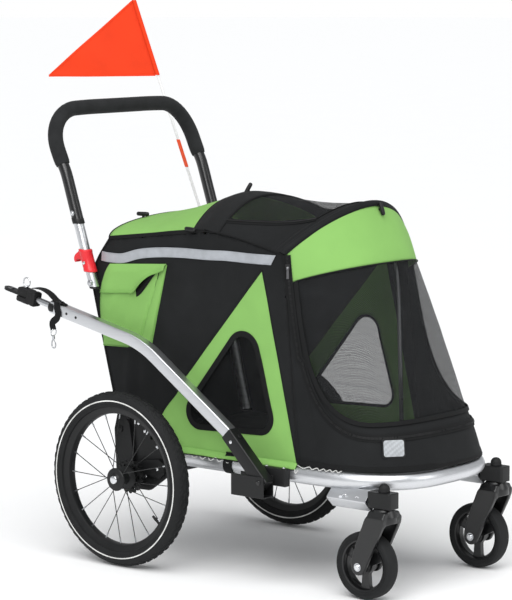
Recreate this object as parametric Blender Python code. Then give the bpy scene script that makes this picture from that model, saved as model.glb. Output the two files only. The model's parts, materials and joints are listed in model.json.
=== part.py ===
"""Pet stroller that converts to a bicycle trailer.

Axes: X runs across the stroller, -Y is its front, +Y is the push handle's end, +Z is up.
"_l" marks a piece on the -X side (the tow arm's side) and "_r" one on the +X side.
Every piece is laid out from the rear axle (y = 0) and the floor (z = 0); at the end the
whole model is moved along Y by ORIGIN_SHIFT, which centres it on the origin.
Fabric is modelled as thin solids in the shape it takes when the stroller stands open.
"""
import math

import bmesh
import bpy
from mathutils import Vector
from mathutils.geometry import tessellate_polygon

GAP = 0.0004                # clearance between pieces that touch
ORIGIN_SHIFT = 0.0515       # from the rear axle to the middle of the model's length

# ---- rear wheels: 16 inch
WHEEL_R = 0.200
TYRE_HALF_WIDTH = 0.0225
RIM_SEAT_R = 0.1630
RIM_INNER_R = 0.1500
WHEEL_X = 0.3030
WHEEL_SIDES = 32
RIM_HALF_WIDTH = 0.0145
HUB_R = 0.0260
HUB_END = 0.0250            # hub's outer end from the wheel's middle plane
HUB_INNER = 0.0380          # hub's inner end from the wheel's middle plane
DISC_R = 0.0380             # brake disc on the hub's inner end
DISC_OFFSET = 0.0290        # its distance from the wheel's middle plane
STUB_R = 0.0060             # axle stub that reaches the gusset
SPOKE_R = 0.0014
SPOKE_COUNT = 14

# ---- front casters: 6 inch
CASTER_R = 0.0738
CASTER_HALF_WIDTH = 0.019
CASTER_RIM_R = 0.0560
CASTER_DISC_HALF = 0.009    # half thickness of the three-spoke centre
CASTER_HUB_R = 0.015
CASTER_HUB_HALF = 0.0225
FORK_INNER = 0.0235         # the fork arms' faces, from the wheel's middle plane
FORK_OUTER = 0.0345
CASTER_X = 0.208
CASTER_AXLE_Y = -0.634
SWIVEL_Y = -0.679
BLOCK_TOP = 0.2385
BLOCK_BOTTOM = 0.2035

# ---- base
RAIL_R = 0.0193
RAIL_X = 0.2165
RAIL_Z = 0.2516
HOOP_START_Y = -0.433       # where the side rails begin to curve
HOOP_REACH = 0.269          # how far the hoop's front lies ahead of that
HOOP_POWER = 2.9
RAIL_END_Y = 0.030
GUSSET_INNER = RAIL_X + RAIL_R + GAP
GUSSET_THICK = 0.006
CROSS_TUBE_Y = -0.300
CROSS_TUBE_R = 0.011
AXLE_BEAM_R = 0.012

# ---- cabin
CABIN_HALF = 0.2215
CLOTH = 0.003               # wall thickness of the fabric shell
FLOOR_TOP = 0.2765
PAD_THICK = 0.026
WALL_BOTTOM = 0.2715
NOSE_REACH = 0.262

# ---- folding frame and handle
HINGE_PIN_R = 0.005
BOW_WIRE_R = 0.005
POST_R = 0.0115
UPRIGHT_R = 0.0125
UPRIGHT_X = 0.2055
FOLD_PIVOT = (0.055, 0.300)
HANDLE_PIVOT = (0.1405, 0.632)
HANDLE_X = 0.2385
HANDLE_LEAN = math.radians(18.5)
GRIP_R = 0.0135
FOAM_R = 0.0176
FOAM_START = 0.282          # distances up a leg from the handle's hinge
BUTTON_UP = 0.166
POST_TOP = 0.218
TUBE_FOOT = 0.1427          # where the grip tube's legs begin
KNEE_UP = 0.262             # and where they bend back a little
SLEEVE_R = 0.0158           # red locking sleeve, and where it sits on the leg
SLEEVE_SPAN = (0.026, 0.080)
TOP_BAR_Z = 1.025
TOP_BAR_Y = 0.277
BEND_R = 0.090

# ---- tow arm
ARM_X = -0.272
ARM_HALF = 0.0125
ARM_HALF_HIGH = 0.0135
ARM_PIVOT = (-0.396, 0.236)
ARM_MOUTH = (-0.2985, 0.334)        # where the tube leaves its black socket
ARM_BEND = (-0.043, 0.5106)
ARM_BEND_R = 0.250
ARM_END = (0.237, 0.572)
SLOT_END = 0.0780           # hitch distances run from the arm's end along its last straight
PIN_ALONG = 0.0940
EYE_ALONG = 0.1400
PIN_HOLE_R = 0.0036
EYE_R = 0.0052
PLATE_HALF = 0.0034

# ---- flag
POLE_X = 0.264
POLE_R = 0.0038
POLE_FOOT = (0.056, 0.302)
POLE_TOP = (0.470, 1.274)

# ---- parking brake
BRAKE_PIVOT = (0.048, 0.222)
BRAKE_BAR_R = 0.006

PALETTE = {
    "aluminium": ((0.62, 0.63, 0.65), 0.32, 1.0),
    "steel": ((0.50, 0.51, 0.53), 0.28, 1.0),
    "black_paint": ((0.022, 0.022, 0.024), 0.42, 0.0),
    "black_plastic": ((0.020, 0.021, 0.022), 0.50, 0.0),
    "rubber": ((0.018, 0.018, 0.019), 0.78, 0.0),
    "foam": ((0.028, 0.029, 0.030), 0.90, 0.0),
    "green_fabric": ((0.235, 0.520, 0.125), 0.85, 0.0),
    "black_fabric": ((0.016, 0.017, 0.018), 0.88, 0.0),
    "mesh_fabric": ((0.030, 0.031, 0.033), 0.80, 0.0),
    "red_plastic": ((0.780, 0.035, 0.040), 0.38, 0.0),
    "reflector": ((0.560, 0.570, 0.580), 0.20, 0.0),
    "orange_nylon": ((0.900, 0.085, 0.015), 0.60, 0.0),
    "white_rod": ((0.800, 0.800, 0.780), 0.40, 0.0),
    "floor_grey": ((0.120, 0.122, 0.125), 0.80, 0.0),
}


def clear_scene():
    for obj in list(bpy.data.objects):
        bpy.data.objects.remove(obj, do_unlink=True)


def paint(name):
    """Principled material of this palette entry, made once."""
    known = bpy.data.materials.get(name)
    if known:
        return known
    colour, roughness, metallic = PALETTE[name]
    made = bpy.data.materials.new(name)
    made.use_nodes = True
    shader = made.node_tree.nodes["Principled BSDF"]
    shader.inputs["Base Color"].default_value = (*colour, 1.0)
    shader.inputs["Roughness"].default_value = roughness
    shader.inputs["Metallic"].default_value = metallic
    made.diffuse_color = (*colour, 1.0)
    return made


def add_solid(name, points, faces, finish, pivot=(0.0, 0.0, 0.0), sharp=35.0):
    """One closed body from points in stroller coordinates, its origin at pivot."""
    pivot = Vector(pivot)
    mesh = bpy.data.meshes.new(name)
    mesh.from_pydata([tuple(Vector(p) - pivot) for p in points], [], faces)
    work = bmesh.new()
    work.from_mesh(mesh)
    bmesh.ops.recalc_face_normals(work, faces=work.faces)
    work.to_mesh(mesh)
    work.free()
    mesh.materials.append(paint(finish))
    mesh.shade_smooth()
    mesh.set_sharp_from_angle(angle=math.radians(sharp))
    obj = bpy.data.objects.new(name, mesh)
    obj.location = pivot
    bpy.context.scene.collection.objects.link(obj)
    return obj


def combine(target, others, operation):
    """Boolean the others into the target, then remove them."""
    for other in others:
        tool = target.modifiers.new("combine", "BOOLEAN")
        tool.operation = operation
        tool.solver = "EXACT"
        tool.object = other
    bpy.context.view_layer.update()
    graph = bpy.context.evaluated_depsgraph_get()
    baked = bpy.data.meshes.new_from_object(target.evaluated_get(graph))
    target.modifiers.clear()
    target.data = baked
    for other in others:
        bpy.data.objects.remove(other, do_unlink=True)
    return target


def unite(target, *others):
    return combine(target, others, "UNION")


def cut(target, *others):
    return combine(target, others, "DIFFERENCE")


# ------------------------------------------------------------------ basic shapes

def place(axis, along, first, second):
    """Point from its coordinate along an axis and the two others in X, Y, Z order."""
    if axis == "X":
        return (along, first, second)
    if axis == "Y":
        return (first, along, second)
    return (first, second, along)


def prism(name, outline, low, high, finish, axis="X", holes=(), pivot=(0.0, 0.0, 0.0)):
    """Extrude an outline, with holes, from low to high along an axis."""
    loops = [list(outline)] + [list(hole) for hole in holes]
    flat = [point for loop in loops for point in loop]
    count = len(flat)
    points = [place(axis, low, *p) for p in flat] + [place(axis, high, *p) for p in flat]
    cap = tessellate_polygon([[Vector((p[0], p[1], 0.0)) for p in loop] for loop in loops])
    faces = [tuple(tri) for tri in cap]
    faces += [tuple(i + count for i in reversed(tri)) for tri in cap]
    start = 0
    for loop in loops:
        size = len(loop)
        for i in range(size):
            a = start + i
            b = start + (i + 1) % size
            faces.append((a, b, b + count, a + count))
        start += size
    return add_solid(name, points, faces, finish, pivot)


def box(name, low, high, finish, pivot=(0.0, 0.0, 0.0)):
    corners = [(low[0], low[1]), (high[0], low[1]), (high[0], high[1]), (low[0], high[1])]
    return prism(name, corners, low[2], high[2], finish, "Z", pivot=pivot)


def lathe(name, profile, centre, finish, axis="X", sides=32, pivot=None):
    """Turn a closed (radius, along) profile about an axis through the centre."""
    points = []
    rings = []
    for radius, along in profile:
        if radius < 1e-6:
            rings.append([len(points)])
            points.append(Vector(place(axis, along, 0.0, 0.0)) + Vector(centre))
            continue
        rings.append(list(range(len(points), len(points) + sides)))
        for k in range(sides):
            turn = 2.0 * math.pi * k / sides
            spot = place(axis, along, radius * math.cos(turn), radius * math.sin(turn))
            points.append(Vector(spot) + Vector(centre))
    faces = []
    for one, two in zip(rings, rings[1:] + rings[:1]):
        for k in range(sides):
            nxt = (k + 1) % sides
            if len(one) > 1 and len(two) > 1:
                faces.append((one[k], one[nxt], two[nxt], two[k]))
            elif len(one) > 1:
                faces.append((one[k], one[nxt], two[0]))
            elif len(two) > 1:
                faces.append((one[0], two[nxt], two[k]))
    return add_solid(name, points, faces, finish, pivot if pivot is not None else centre)


def rod(name, start, end, radius, finish, sides=12, pivot=(0.0, 0.0, 0.0)):
    return sweep(name, [Vector(start), Vector(end)], circle(radius, sides), finish, pivot=pivot)


def circle(radius, sides=12, centre=(0.0, 0.0), phase=0.5):
    turns = [2.0 * math.pi * (k + phase) / sides for k in range(sides)]
    return [(centre[0] + radius * math.cos(t), centre[1] + radius * math.sin(t)) for t in turns]


def rounded_rect(half_a, half_b, radius, steps=3):
    """Rectangle outline with rounded corners, centred on (0, 0)."""
    outline = []
    for sign_a, sign_b, start in ((1, 1, 0), (-1, 1, 90), (-1, -1, 180), (1, -1, 270)):
        for k in range(steps + 1):
            turn = math.radians(start + 90.0 * k / steps)
            outline.append((sign_a * (half_a - radius) + radius * math.cos(turn),
                            sign_b * (half_b - radius) + radius * math.sin(turn)))
    return outline


def path_frames(path, side):
    """At each point: two unit vectors across the path, the first near the given side."""
    frames = []
    for i, point in enumerate(path):
        ahead = path[min(i + 1, len(path) - 1)] - path[max(i - 1, 0)]
        ahead.normalize()
        across = side - ahead * side.dot(ahead)
        across.normalize()
        frames.append((across, ahead.cross(across)))
    return frames


def sweep(name, path, section, finish, side=None, hollow=None, pivot=(0.0, 0.0, 0.0)):
    """Carry a section along a path; hollow is an inner section for an open tube."""
    path = [Vector(p) for p in path]
    if side is None:
        run = path[-1] - path[0]
        side = Vector((1, 0, 0)) if abs(run.x) < 0.7 * run.length else Vector((0, 0, 1))
    frames = path_frames(path, side)
    points = []
    faces = []
    sections = [section] + ([hollow] if hollow else [])
    starts = []
    for outline in sections:
        starts.append(len(points))
        for centre, (one, two) in zip(path, frames):
            points += [centre + one * a + two * b for a, b in outline]
    for start, outline in zip(starts, sections):
        size = len(outline)
        for row in range(len(path) - 1):
            base = start + row * size
            for k in range(size):
                nxt = (k + 1) % size
                faces.append((base + k, base + nxt, base + size + nxt, base + size + k))
    size = len(section)
    last = (len(path) - 1) * size
    if hollow:
        for row in (0, last):
            for k in range(size):
                nxt = (k + 1) % size
                faces.append((row + k, row + nxt, starts[1] + row + nxt, starts[1] + row + k))
    else:
        faces.append(tuple(range(size)))
        faces.append(tuple(range(last, last + size)))
    return add_solid(name, points, faces, finish, pivot)


def shell(name, rows, finish, thickness=CLOTH):
    """Closed cloth-thick solid under a grid of outer points (a list of rows)."""
    across = len(rows[0])
    high = len(rows)
    outer = [Vector(p) for row in rows for p in row]
    middle = sum(outer, Vector()) / len(outer)
    inward_aim = Vector((0.0, -0.15, 0.50)) - middle
    inner = []
    for r in range(high):
        for c in range(across):
            du = outer[r * across + min(c + 1, across - 1)] - outer[r * across + max(c - 1, 0)]
            dv = outer[min(r + 1, high - 1) * across + c] - outer[max(r - 1, 0) * across + c]
            normal = du.cross(dv).normalized()
            if normal.dot(inward_aim) < 0.0:
                normal = -normal
            inner.append(outer[r * across + c] + normal * thickness)
    total = len(outer)
    faces = []
    for r in range(high - 1):
        for c in range(across - 1):
            a = r * across + c
            quad = (a, a + 1, a + across + 1, a + across)
            faces.append(quad)
            faces.append(tuple(i + total for i in reversed(quad)))
    rim = [c for c in range(across)]
    rim += [r * across + across - 1 for r in range(1, high)]
    rim += [(high - 1) * across + c for c in range(across - 2, -1, -1)]
    rim += [r * across for r in range(high - 2, 0, -1)]
    for a, b in zip(rim, rim[1:] + rim[:1]):
        faces.append((a, b, b + total, a + total))
    return add_solid(name, outer + inner, faces, finish)


def rounded_corners(corners, radii, steps=6):
    """Outline of a polygon with each corner replaced by an arc of its own radius."""
    outline = []
    for i, corner in enumerate(corners):
        here = Vector(corner)
        back = (Vector(corners[i - 1]) - here).normalized()
        ahead = (Vector(corners[(i + 1) % len(corners)]) - here).normalized()
        half = 0.5 * back.angle(ahead)
        radius = radii[i]
        centre = here + (back + ahead).normalized() * (radius / math.sin(half))
        first = here + back * (radius / math.tan(half)) - centre
        last = here + ahead * (radius / math.tan(half)) - centre
        start = math.atan2(first.y, first.x)
        sweep_angle = math.atan2(last.y, last.x) - start
        sweep_angle = (sweep_angle + math.pi) % (2.0 * math.pi) - math.pi
        for k in range(steps + 1):
            turn = start + sweep_angle * k / steps
            outline.append((centre.x + radius * math.cos(turn),
                            centre.y + radius * math.sin(turn)))
    return outline


def inset(outline, distance):
    """Outline moved towards its own middle by about the given distance."""
    middle = Vector((sum(p[0] for p in outline), sum(p[1] for p in outline))) / len(outline)
    moved = []
    for p in outline:
        away = Vector(p) - middle
        moved.append(tuple(middle + away * (1.0 - distance / away.length)))
    return moved


# ------------------------------------------------------------------ rear wheels

def rear_tyre(side, suffix):
    profile = [(RIM_SEAT_R + GAP, -0.012), (RIM_SEAT_R + GAP, 0.012)]
    middle = WHEEL_R - TYRE_HALF_WIDTH
    for degrees in (-35, 5, 40, 70, 110, 140, 175, 215):
        turn = math.radians(degrees)
        profile.append((middle + TYRE_HALF_WIDTH * math.sin(turn),
                        TYRE_HALF_WIDTH * math.cos(turn)))
    lathe("rear_tyre_" + suffix, profile, (side * WHEEL_X, 0.0, WHEEL_R), "rubber", sides=WHEEL_SIDES)


def rear_wheel(side, suffix):
    """Rim, spokes, hub, brake disc and axle stub as one rigid wheel."""
    centre = Vector((side * WHEEL_X, 0.0, WHEEL_R))
    lip = RIM_SEAT_R - 0.003
    rim_profile = [(RIM_INNER_R, -0.0080), (lip, -RIM_HALF_WIDTH), (RIM_SEAT_R, -RIM_HALF_WIDTH),
                   (RIM_SEAT_R, RIM_HALF_WIDTH), (lip, RIM_HALF_WIDTH), (RIM_INNER_R, 0.0080)]
    wheel = lathe("rear_wheel_" + suffix, rim_profile, centre, "black_paint", sides=WHEEL_SIDES)
    out = side * HUB_END
    into = -side * HUB_INNER
    disc = -side * DISC_OFFSET
    stub_end = -side * (WHEEL_X - GUSSET_INNER - GUSSET_THICK - GAP)
    hub_profile = [(0.0, out), (0.011, out), (0.0125, out * 0.88), (HUB_R, out * 0.84),
                   (HUB_R, out * 0.62), (0.015, out * 0.45), (0.015, disc + side * 0.008),
                   (DISC_R, disc + side * 0.003), (DISC_R, disc - side * 0.003),
                   (0.014, disc - side * 0.004), (0.014, into), (STUB_R, into),
                   (STUB_R, stub_end), (0.0, stub_end)]
    hub = lathe("hub", hub_profile, centre, "black_paint", sides=16)
    spokes = []
    flange = 0.018              # radius at which the spokes leave the hub
    for k in range(SPOKE_COUNT):
        turn = 2.0 * math.pi * k / SPOKE_COUNT
        offset = out * 0.72 if k % 2 else disc + side * 0.002
        lead = math.radians(16.0 if (k // 2) % 2 else -16.0)
        foot = centre + Vector((offset, flange * math.cos(turn + lead), flange * math.sin(turn + lead)))
        reach = RIM_INNER_R + 0.003
        tip = centre + Vector((0.0, reach * math.cos(turn), reach * math.sin(turn)))
        spokes.append(rod("spoke", foot, tip, SPOKE_R, "steel", sides=4))
    unite(wheel, hub, *spokes)


# ------------------------------------------------------------------ front casters

def caster(side, suffix):
    """Tyre, wheel, trailing fork with its stem, knob, block and the square tube behind it."""
    x = side * CASTER_X
    axle = (x, CASTER_AXLE_Y, CASTER_R)
    swivel = (x, SWIVEL_Y, 0.0)
    half = CASTER_HALF_WIDTH
    tyre = [(CASTER_RIM_R + GAP, -half + 0.004), (CASTER_R - 0.007, -half), (CASTER_R, -half + 0.009),
            (CASTER_R, half - 0.009), (CASTER_R - 0.007, half), (CASTER_RIM_R + GAP, half - 0.004)]
    lathe("caster_tyre_" + suffix, tyre, axle, "rubber", sides=24)

    holes = []
    spoke_gaps = 3
    for k in range(spoke_gaps):
        middle = math.radians(90.0 + 360.0 / spoke_gaps * k)
        arc = [middle + math.radians(d) for d in (-42, -21, 0, 21, 42)]
        hole = [(axle[1] + 0.044 * math.cos(t), axle[2] + 0.044 * math.sin(t)) for t in arc]
        hole += [(axle[1] + 0.024 * math.cos(t), axle[2] + 0.024 * math.sin(t))
                 for t in reversed(arc[1:-1])]
        holes.append(hole)
    disc = prism("caster_rim_" + suffix, circle(CASTER_RIM_R, 24, axle[1:], 0.0), x - CASTER_DISC_HALF,
                 x + CASTER_DISC_HALF, "black_plastic", holes=holes, pivot=axle)
    hub = lathe("hub", [(0.0, -CASTER_HUB_HALF), (CASTER_HUB_R, -CASTER_HUB_HALF),
                        (CASTER_HUB_R, CASTER_HUB_HALF), (0.0, CASTER_HUB_HALF)], axle,
                "black_plastic", sides=12)
    unite(disc, hub)

    arm = [(-0.701, 0.180), (-0.657, 0.180), (-0.640, 0.154), (-0.616, 0.086), (-0.620, 0.063),
           (-0.634, 0.055), (-0.649, 0.061), (-0.688, 0.142)]
    crown = [(x - 0.021, 0.200), (x + 0.021, 0.200), (x + 0.034, 0.178), (x + 0.034, 0.160),
             (x - 0.034, 0.160), (x - 0.034, 0.178)]
    fork = prism("caster_fork_" + suffix, crown, -0.700, -0.658, "black_plastic", "Y", pivot=swivel)
    collar = lathe("collar", [(0.0, 0.190), (0.0225, 0.190), (0.0225, BLOCK_BOTTOM - GAP),
                              (0.0, BLOCK_BOTTOM - GAP)], swivel, "black_plastic", "Z", 12)
    arms = [prism("arm", arm, x + s * FORK_INNER, x + s * FORK_OUTER, "black_plastic") for s in (-1, 1)]
    stem = lathe("stem", [(0.0, 0.180), (0.006, 0.180), (0.006, BLOCK_TOP), (0.0, BLOCK_TOP)],
                 swivel, "steel", "Z", 12)
    unite(fork, collar, *arms, stem)

    dome = [(0.0, BLOCK_TOP + GAP), (0.0125, BLOCK_TOP + GAP), (0.0125, BLOCK_TOP + 0.006)]
    dome += [(0.0125 * math.cos(math.radians(d)), BLOCK_TOP + 0.006 + 0.0125 * math.sin(math.radians(d)))
             for d in (30, 62)]
    dome.append((0.0, BLOCK_TOP + 0.0185))
    lathe("caster_knob_" + suffix, dome, swivel, "rubber", "Z", 12)

    block = box("caster_block_" + suffix, (x - 0.018, -0.707, BLOCK_BOTTOM),
                (x + 0.018, -0.6455, BLOCK_TOP), "black_plastic")
    bore = lathe("bore", [(0.0, 0.19), (0.0065, 0.19), (0.0065, 0.25), (0.0, 0.25)], swivel,
                 "steel", "Z", 12)
    cut(block, bore)
    square = rounded_rect(0.0172, 0.0172, 0.004)
    inner = rounded_rect(0.0147, 0.0147, 0.002)
    middle_z = RAIL_Z - RAIL_R - GAP - 0.0172
    sweep("caster_receiver_" + suffix, [(x, -0.645, middle_z), (x, -0.540, middle_z)], square,
          "aluminium", hollow=inner)


# ------------------------------------------------------------------ base

def superellipse(half, reach, power, steps):
    """Front half of a superellipse from -X round the nose to +X, as (x, forward) pairs."""
    pairs = []
    for k in range(steps + 1):
        turn = math.pi * k / steps
        cosine = math.cos(turn)
        pairs.append((-half * math.copysign(abs(cosine) ** (2.0 / power), cosine),
                      reach * abs(math.sin(turn)) ** (2.0 / power)))
    return pairs


def base_hoop():
    """Tube of the base: both side rails and the curve round the front in one bend."""
    curve = superellipse(RAIL_X, HOOP_REACH, HOOP_POWER, 24)
    path = [(-RAIL_X, RAIL_END_Y, RAIL_Z)]
    path += [(x, HOOP_START_Y - ahead, RAIL_Z) for x, ahead in curve]
    path.append((RAIL_X, RAIL_END_Y, RAIL_Z))
    sweep("base_hoop", path, circle(RAIL_R, 12), "aluminium", side=Vector((0, 0, 1)))


def base_tubes():
    """Tube between the rails under the floor, and the beam between the rear gussets."""
    inner = RAIL_X - RAIL_R - GAP
    rod("cross_tube", (-inner, CROSS_TUBE_Y, RAIL_Z), (inner, CROSS_TUBE_Y, RAIL_Z), CROSS_TUBE_R,
        "aluminium")
    end = GUSSET_INNER - GAP
    rod("axle_beam", (-end, 0.0, WHEEL_R), (end, 0.0, WHEEL_R), AXLE_BEAM_R, "black_paint")


def gusset(side, suffix):
    """Plate outside a side rail that carries the wheel, the frame's hinge and the brake bar."""
    outline = [(0.060, 0.352), (0.010, 0.342), (-0.045, 0.318), (-0.085, 0.282), (-0.088, 0.205),
               (-0.035, 0.168), (0.030, 0.166), (0.068, 0.195), (0.074, 0.300)]
    near = GUSSET_INNER
    far = GUSSET_INNER + GUSSET_THICK
    low, high = sorted((side * near, side * far))
    prism("gusset_" + suffix, outline, low, high, "black_paint")


def floor():
    """Stiff board on the base tube, and the loose pad that lies on it."""
    half = 0.2120
    board = [(x, HOOP_START_Y + 0.010 - ahead) for x, ahead in superellipse(half, 0.250, HOOP_POWER, 20)]
    board += [(half, 0.040), (-half, 0.040)]
    prism("floor_board", board, RAIL_Z + RAIL_R + GAP, FLOOR_TOP, "floor_grey", "Z")
    pad = rounded_corners([(-0.176, 0.020), (-0.176, -0.560), (0.176, -0.560), (0.176, 0.020)],
                          [0.02, 0.08, 0.08, 0.02])
    prism("floor_pad", pad, FLOOR_TOP + GAP, FLOOR_TOP + PAD_THICK, "black_fabric", "Z")


# ------------------------------------------------------------------ cabin

# a roof bow: y, z of its ends, y, z of its middle, and how quickly it rises from its ends
FRONT_BOW = ((-0.412, 0.7335), (-0.483, 0.8310), 0.88)
MID_BOW = ((-0.187, 0.7700), (-0.127, 0.8360), 0.88)
REAR_BOW = ((0.104, 0.7350), (0.098, 0.7810), 0.42)
BOTTOM_Y = -0.452                  # where the floor's edge begins to curve
BAND_HALF = 0.037                  # half width of the black band at the middle bow's feet
PANEL_EDGE = 0.145                 # green front panel's depth at its ends, as a part of the front
PANEL_MIDDLE = 0.225
ROOF_COLUMNS = 14
DOOR_BOTTOM = 0.815                # mesh door's depth in its middle, as a part of the front
DOOR_HALF = 0.915                  # door's half width, as a part of the front's half width


def arch_point(part, bow):
    """Point of a roof bow; part runs from -1 at the -X foot to 1 at the +X foot."""
    foot, middle, quickness = bow
    level = max(math.cos(0.5 * math.pi * part), 0.0)
    return Vector((CABIN_HALF * part, foot[0] + (middle[0] - foot[0]) * level,
                   foot[1] + (middle[1] - foot[1]) * level ** quickness))


def front_point(part, down):
    """Point of the front surface; down runs from 0 at the bow to 1 at the floor."""
    foot, middle, quickness = FRONT_BOW
    turn = 0.5 * math.pi * part
    level = max(math.cos(turn), 0.0)
    boxy = math.copysign(abs(math.sin(turn)) ** (2.0 / HOOP_POWER), part)
    blend = math.sqrt(down)
    ends = foot[0] + (BOTTOM_Y - foot[0]) * down
    bulge = (foot[0] - middle[0]) * (1.0 - down) + NOSE_REACH * down
    power = 1.0 + (2.0 / HOOP_POWER - 1.0) * blend
    rise = (middle[1] - foot[1]) * (1.0 - down) * level ** quickness
    return Vector((CABIN_HALF * (part + (boxy - part) * blend), ends - bulge * level ** power,
                   foot[1] + (WALL_BOTTOM - foot[1]) * down + rise))


def panel_line(part):
    """Lower edge of the green front panel."""
    return PANEL_EDGE + (PANEL_MIDDLE - PANEL_EDGE) * (1.0 - part * part)


def door_line(part):
    """Lower edge of the mesh door, turning up into its sides."""
    across = min(abs(part) / DOOR_HALF, 1.0)
    return panel_line(part) + (DOOR_BOTTOM - panel_line(part)) * (1.0 - across ** 7) ** (1.0 / 3.0)


def spaced(count, limit):
    """Values from -limit to limit, closer together near the ends."""
    return [limit * math.sin(0.5 * math.pi * (2.0 * k / count - 1.0)) for k in range(count + 1)]


def between(columns, low, high, steps, seam=0.0015):
    """Grid of front-surface points from one line down to another, a seam short of each."""
    rows = []
    for r in range(steps + 1):
        share = r / steps
        rows.append([front_point(s, low(s) + seam + (high(s) - low(s) - 2.0 * seam) * share)
                     for s in columns])
    return rows


def cabin_front():
    """Green panel on top, mesh door below it and the black band round the door's foot."""
    columns = spaced(ROOF_COLUMNS, 1.0)
    shell("front_panel", between(columns, lambda s: 0.0, panel_line, 2), "green_fabric")
    door = spaced(16, DOOR_HALF * 0.985)
    shell("front_mesh", between(door, panel_line, door_line, 4), "mesh_fabric")
    edge = [DOOR_HALF, 0.5 + 0.5 * DOOR_HALF, 1.0]
    band = [-s for s in reversed(edge)] + door + edge
    shell("front_band", between(band, door_line, lambda s: 1.0, 3), "black_fabric")


def side_outline():
    """Side wall's outline (y, z), from the floor's front corner round the back to the top."""
    top = [(bow[0][0], bow[0][1] - 0.0045) for bow in (REAR_BOW, MID_BOW, FRONT_BOW)]
    return [(BOTTOM_Y + 0.0020, WALL_BOTTOM), (0.0600, WALL_BOTTOM), (0.1260, 0.6000), (0.1230, 0.6200),
            (0.1250, 0.6600), (0.1160, 0.6950), (top[0][0] - 0.0045, top[0][1]), top[1],
            (top[2][0] + 0.0050, top[2][1])]


def window_outline():
    """Rounded triangle of the side window's opening."""
    corners = [(-0.3148, 0.5942), (-0.0981, 0.3245), (-0.3887, 0.3357)]
    return rounded_corners(corners, [0.040, 0.034, 0.032])


def side_wall(side, suffix):
    """Side wall with its window, the hole for the frame's hinge pin, and the window's mesh."""
    window = window_outline()
    pin_hole = circle(0.0070, 12, FOLD_PIVOT)
    low, high = sorted((side * (CABIN_HALF - CLOTH), side * CABIN_HALF))
    prism("side_wall_" + suffix, side_outline(), low, high, "black_fabric", holes=(window, pin_hole))
    low, high = sorted((side * (CABIN_HALF - 0.0020), side * (CABIN_HALF - 0.0008)))
    prism("window_mesh_" + suffix, inset(window, 0.0006), low, high, "mesh_fabric")


def rear_wall():
    """Back of the cabin, full width, leaning over the handle's hinges."""
    foot = REAR_BOW[0]
    outer = [(0.0660, WALL_BOTTOM), (0.1625, 0.6400), (0.1560, 0.6600), (0.1350, 0.6950),
             (foot[0] + 0.0010, foot[1] - 0.0045)]
    inner = [(y - CLOTH, z) for y, z in reversed(outer)]
    prism("rear_wall", outer + inner, -CABIN_HALF, CABIN_HALF, "black_fabric")


def bow_between(one, two, share):
    """Bow part of the way from one bow to another."""
    return tuple(tuple(a + (b - a) * share for a, b in zip(p, q)) for p, q in zip(one[:2], two[:2])) + (
        one[2] + (two[2] - one[2]) * share,)


def roof_rows(one, two, start, end, steps):
    """Grid of roof points from share start to share end of the way between two bows."""
    columns = spaced(ROOF_COLUMNS, 1.0)
    rows = []
    for r in range(steps + 1):
        bow = bow_between(one, two, start + (end - start) * r / steps)
        rows.append([arch_point(s, bow) for s in columns])
    return rows


def roof():
    """Green rear part, black band over the middle bow and mesh front part."""
    back = BAND_HALF / (REAR_BOW[0][0] - MID_BOW[0][0])
    front = BAND_HALF / (MID_BOW[0][0] - FRONT_BOW[0][0])
    lap = 0.004
    shell("roof_rear", roof_rows(REAR_BOW, MID_BOW, 0.020, 1.0 - back - lap, 3), "green_fabric")
    band = roof_rows(REAR_BOW, MID_BOW, 1.0 - back, 1.0, 1)
    band += roof_rows(MID_BOW, FRONT_BOW, 0.5 * front, front, 1)
    shell("roof_band", band, "black_fabric")
    shell("roof_mesh", roof_rows(MID_BOW, FRONT_BOW, front + lap, 0.980, 2), "mesh_fabric")


def side_pocket():
    """Green gusset pocket on the -X wall, bulging towards its bottom."""
    outer = -CABIN_HALF - GAP
    corners = [(0.1010, 0.6745), (-0.0731, 0.6860), (-0.0240, 0.4915), (0.1100, 0.4870)]
    points = [(outer, y, z) for y, z in corners]
    bulge = (0.0035, 0.0035, 0.0100, 0.0100)
    points += [(outer - b, y * 0.97, z) for b, (y, z) in zip(bulge, corners)]
    faces = [(0, 1, 2, 3), (4, 5, 6, 7), (0, 1, 5, 4), (1, 2, 6, 5), (2, 3, 7, 6), (3, 0, 4, 7)]
    add_solid("side_pocket", points, faces, "green_fabric")


def reflector(name, part):
    """Flat reflector on the front band, standing on its surface."""
    down = 0.905
    centre = front_point(part, down)
    right = (front_point(part + 0.02, down) - front_point(part - 0.02, down)).normalized()
    up = (front_point(part, down - 0.02) - front_point(part, down + 0.02)).normalized()
    out = right.cross(up).normalized()
    if out.y > 0.0:
        out = -out
    lift = 0.0028
    outline = rounded_rect(0.0255, 0.0200, 0.006)
    points = [centre + right * a + up * b + out * lift for a, b in outline]
    points += [centre + right * a + up * b + out * (lift + 0.006) for a, b in outline]
    size = len(outline)
    faces = [tuple(range(size)), tuple(range(size, 2 * size))]
    faces += [(k, (k + 1) % size, (k + 1) % size + size, k + size) for k in range(size)]
    add_solid(name, points, faces, "reflector")


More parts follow.
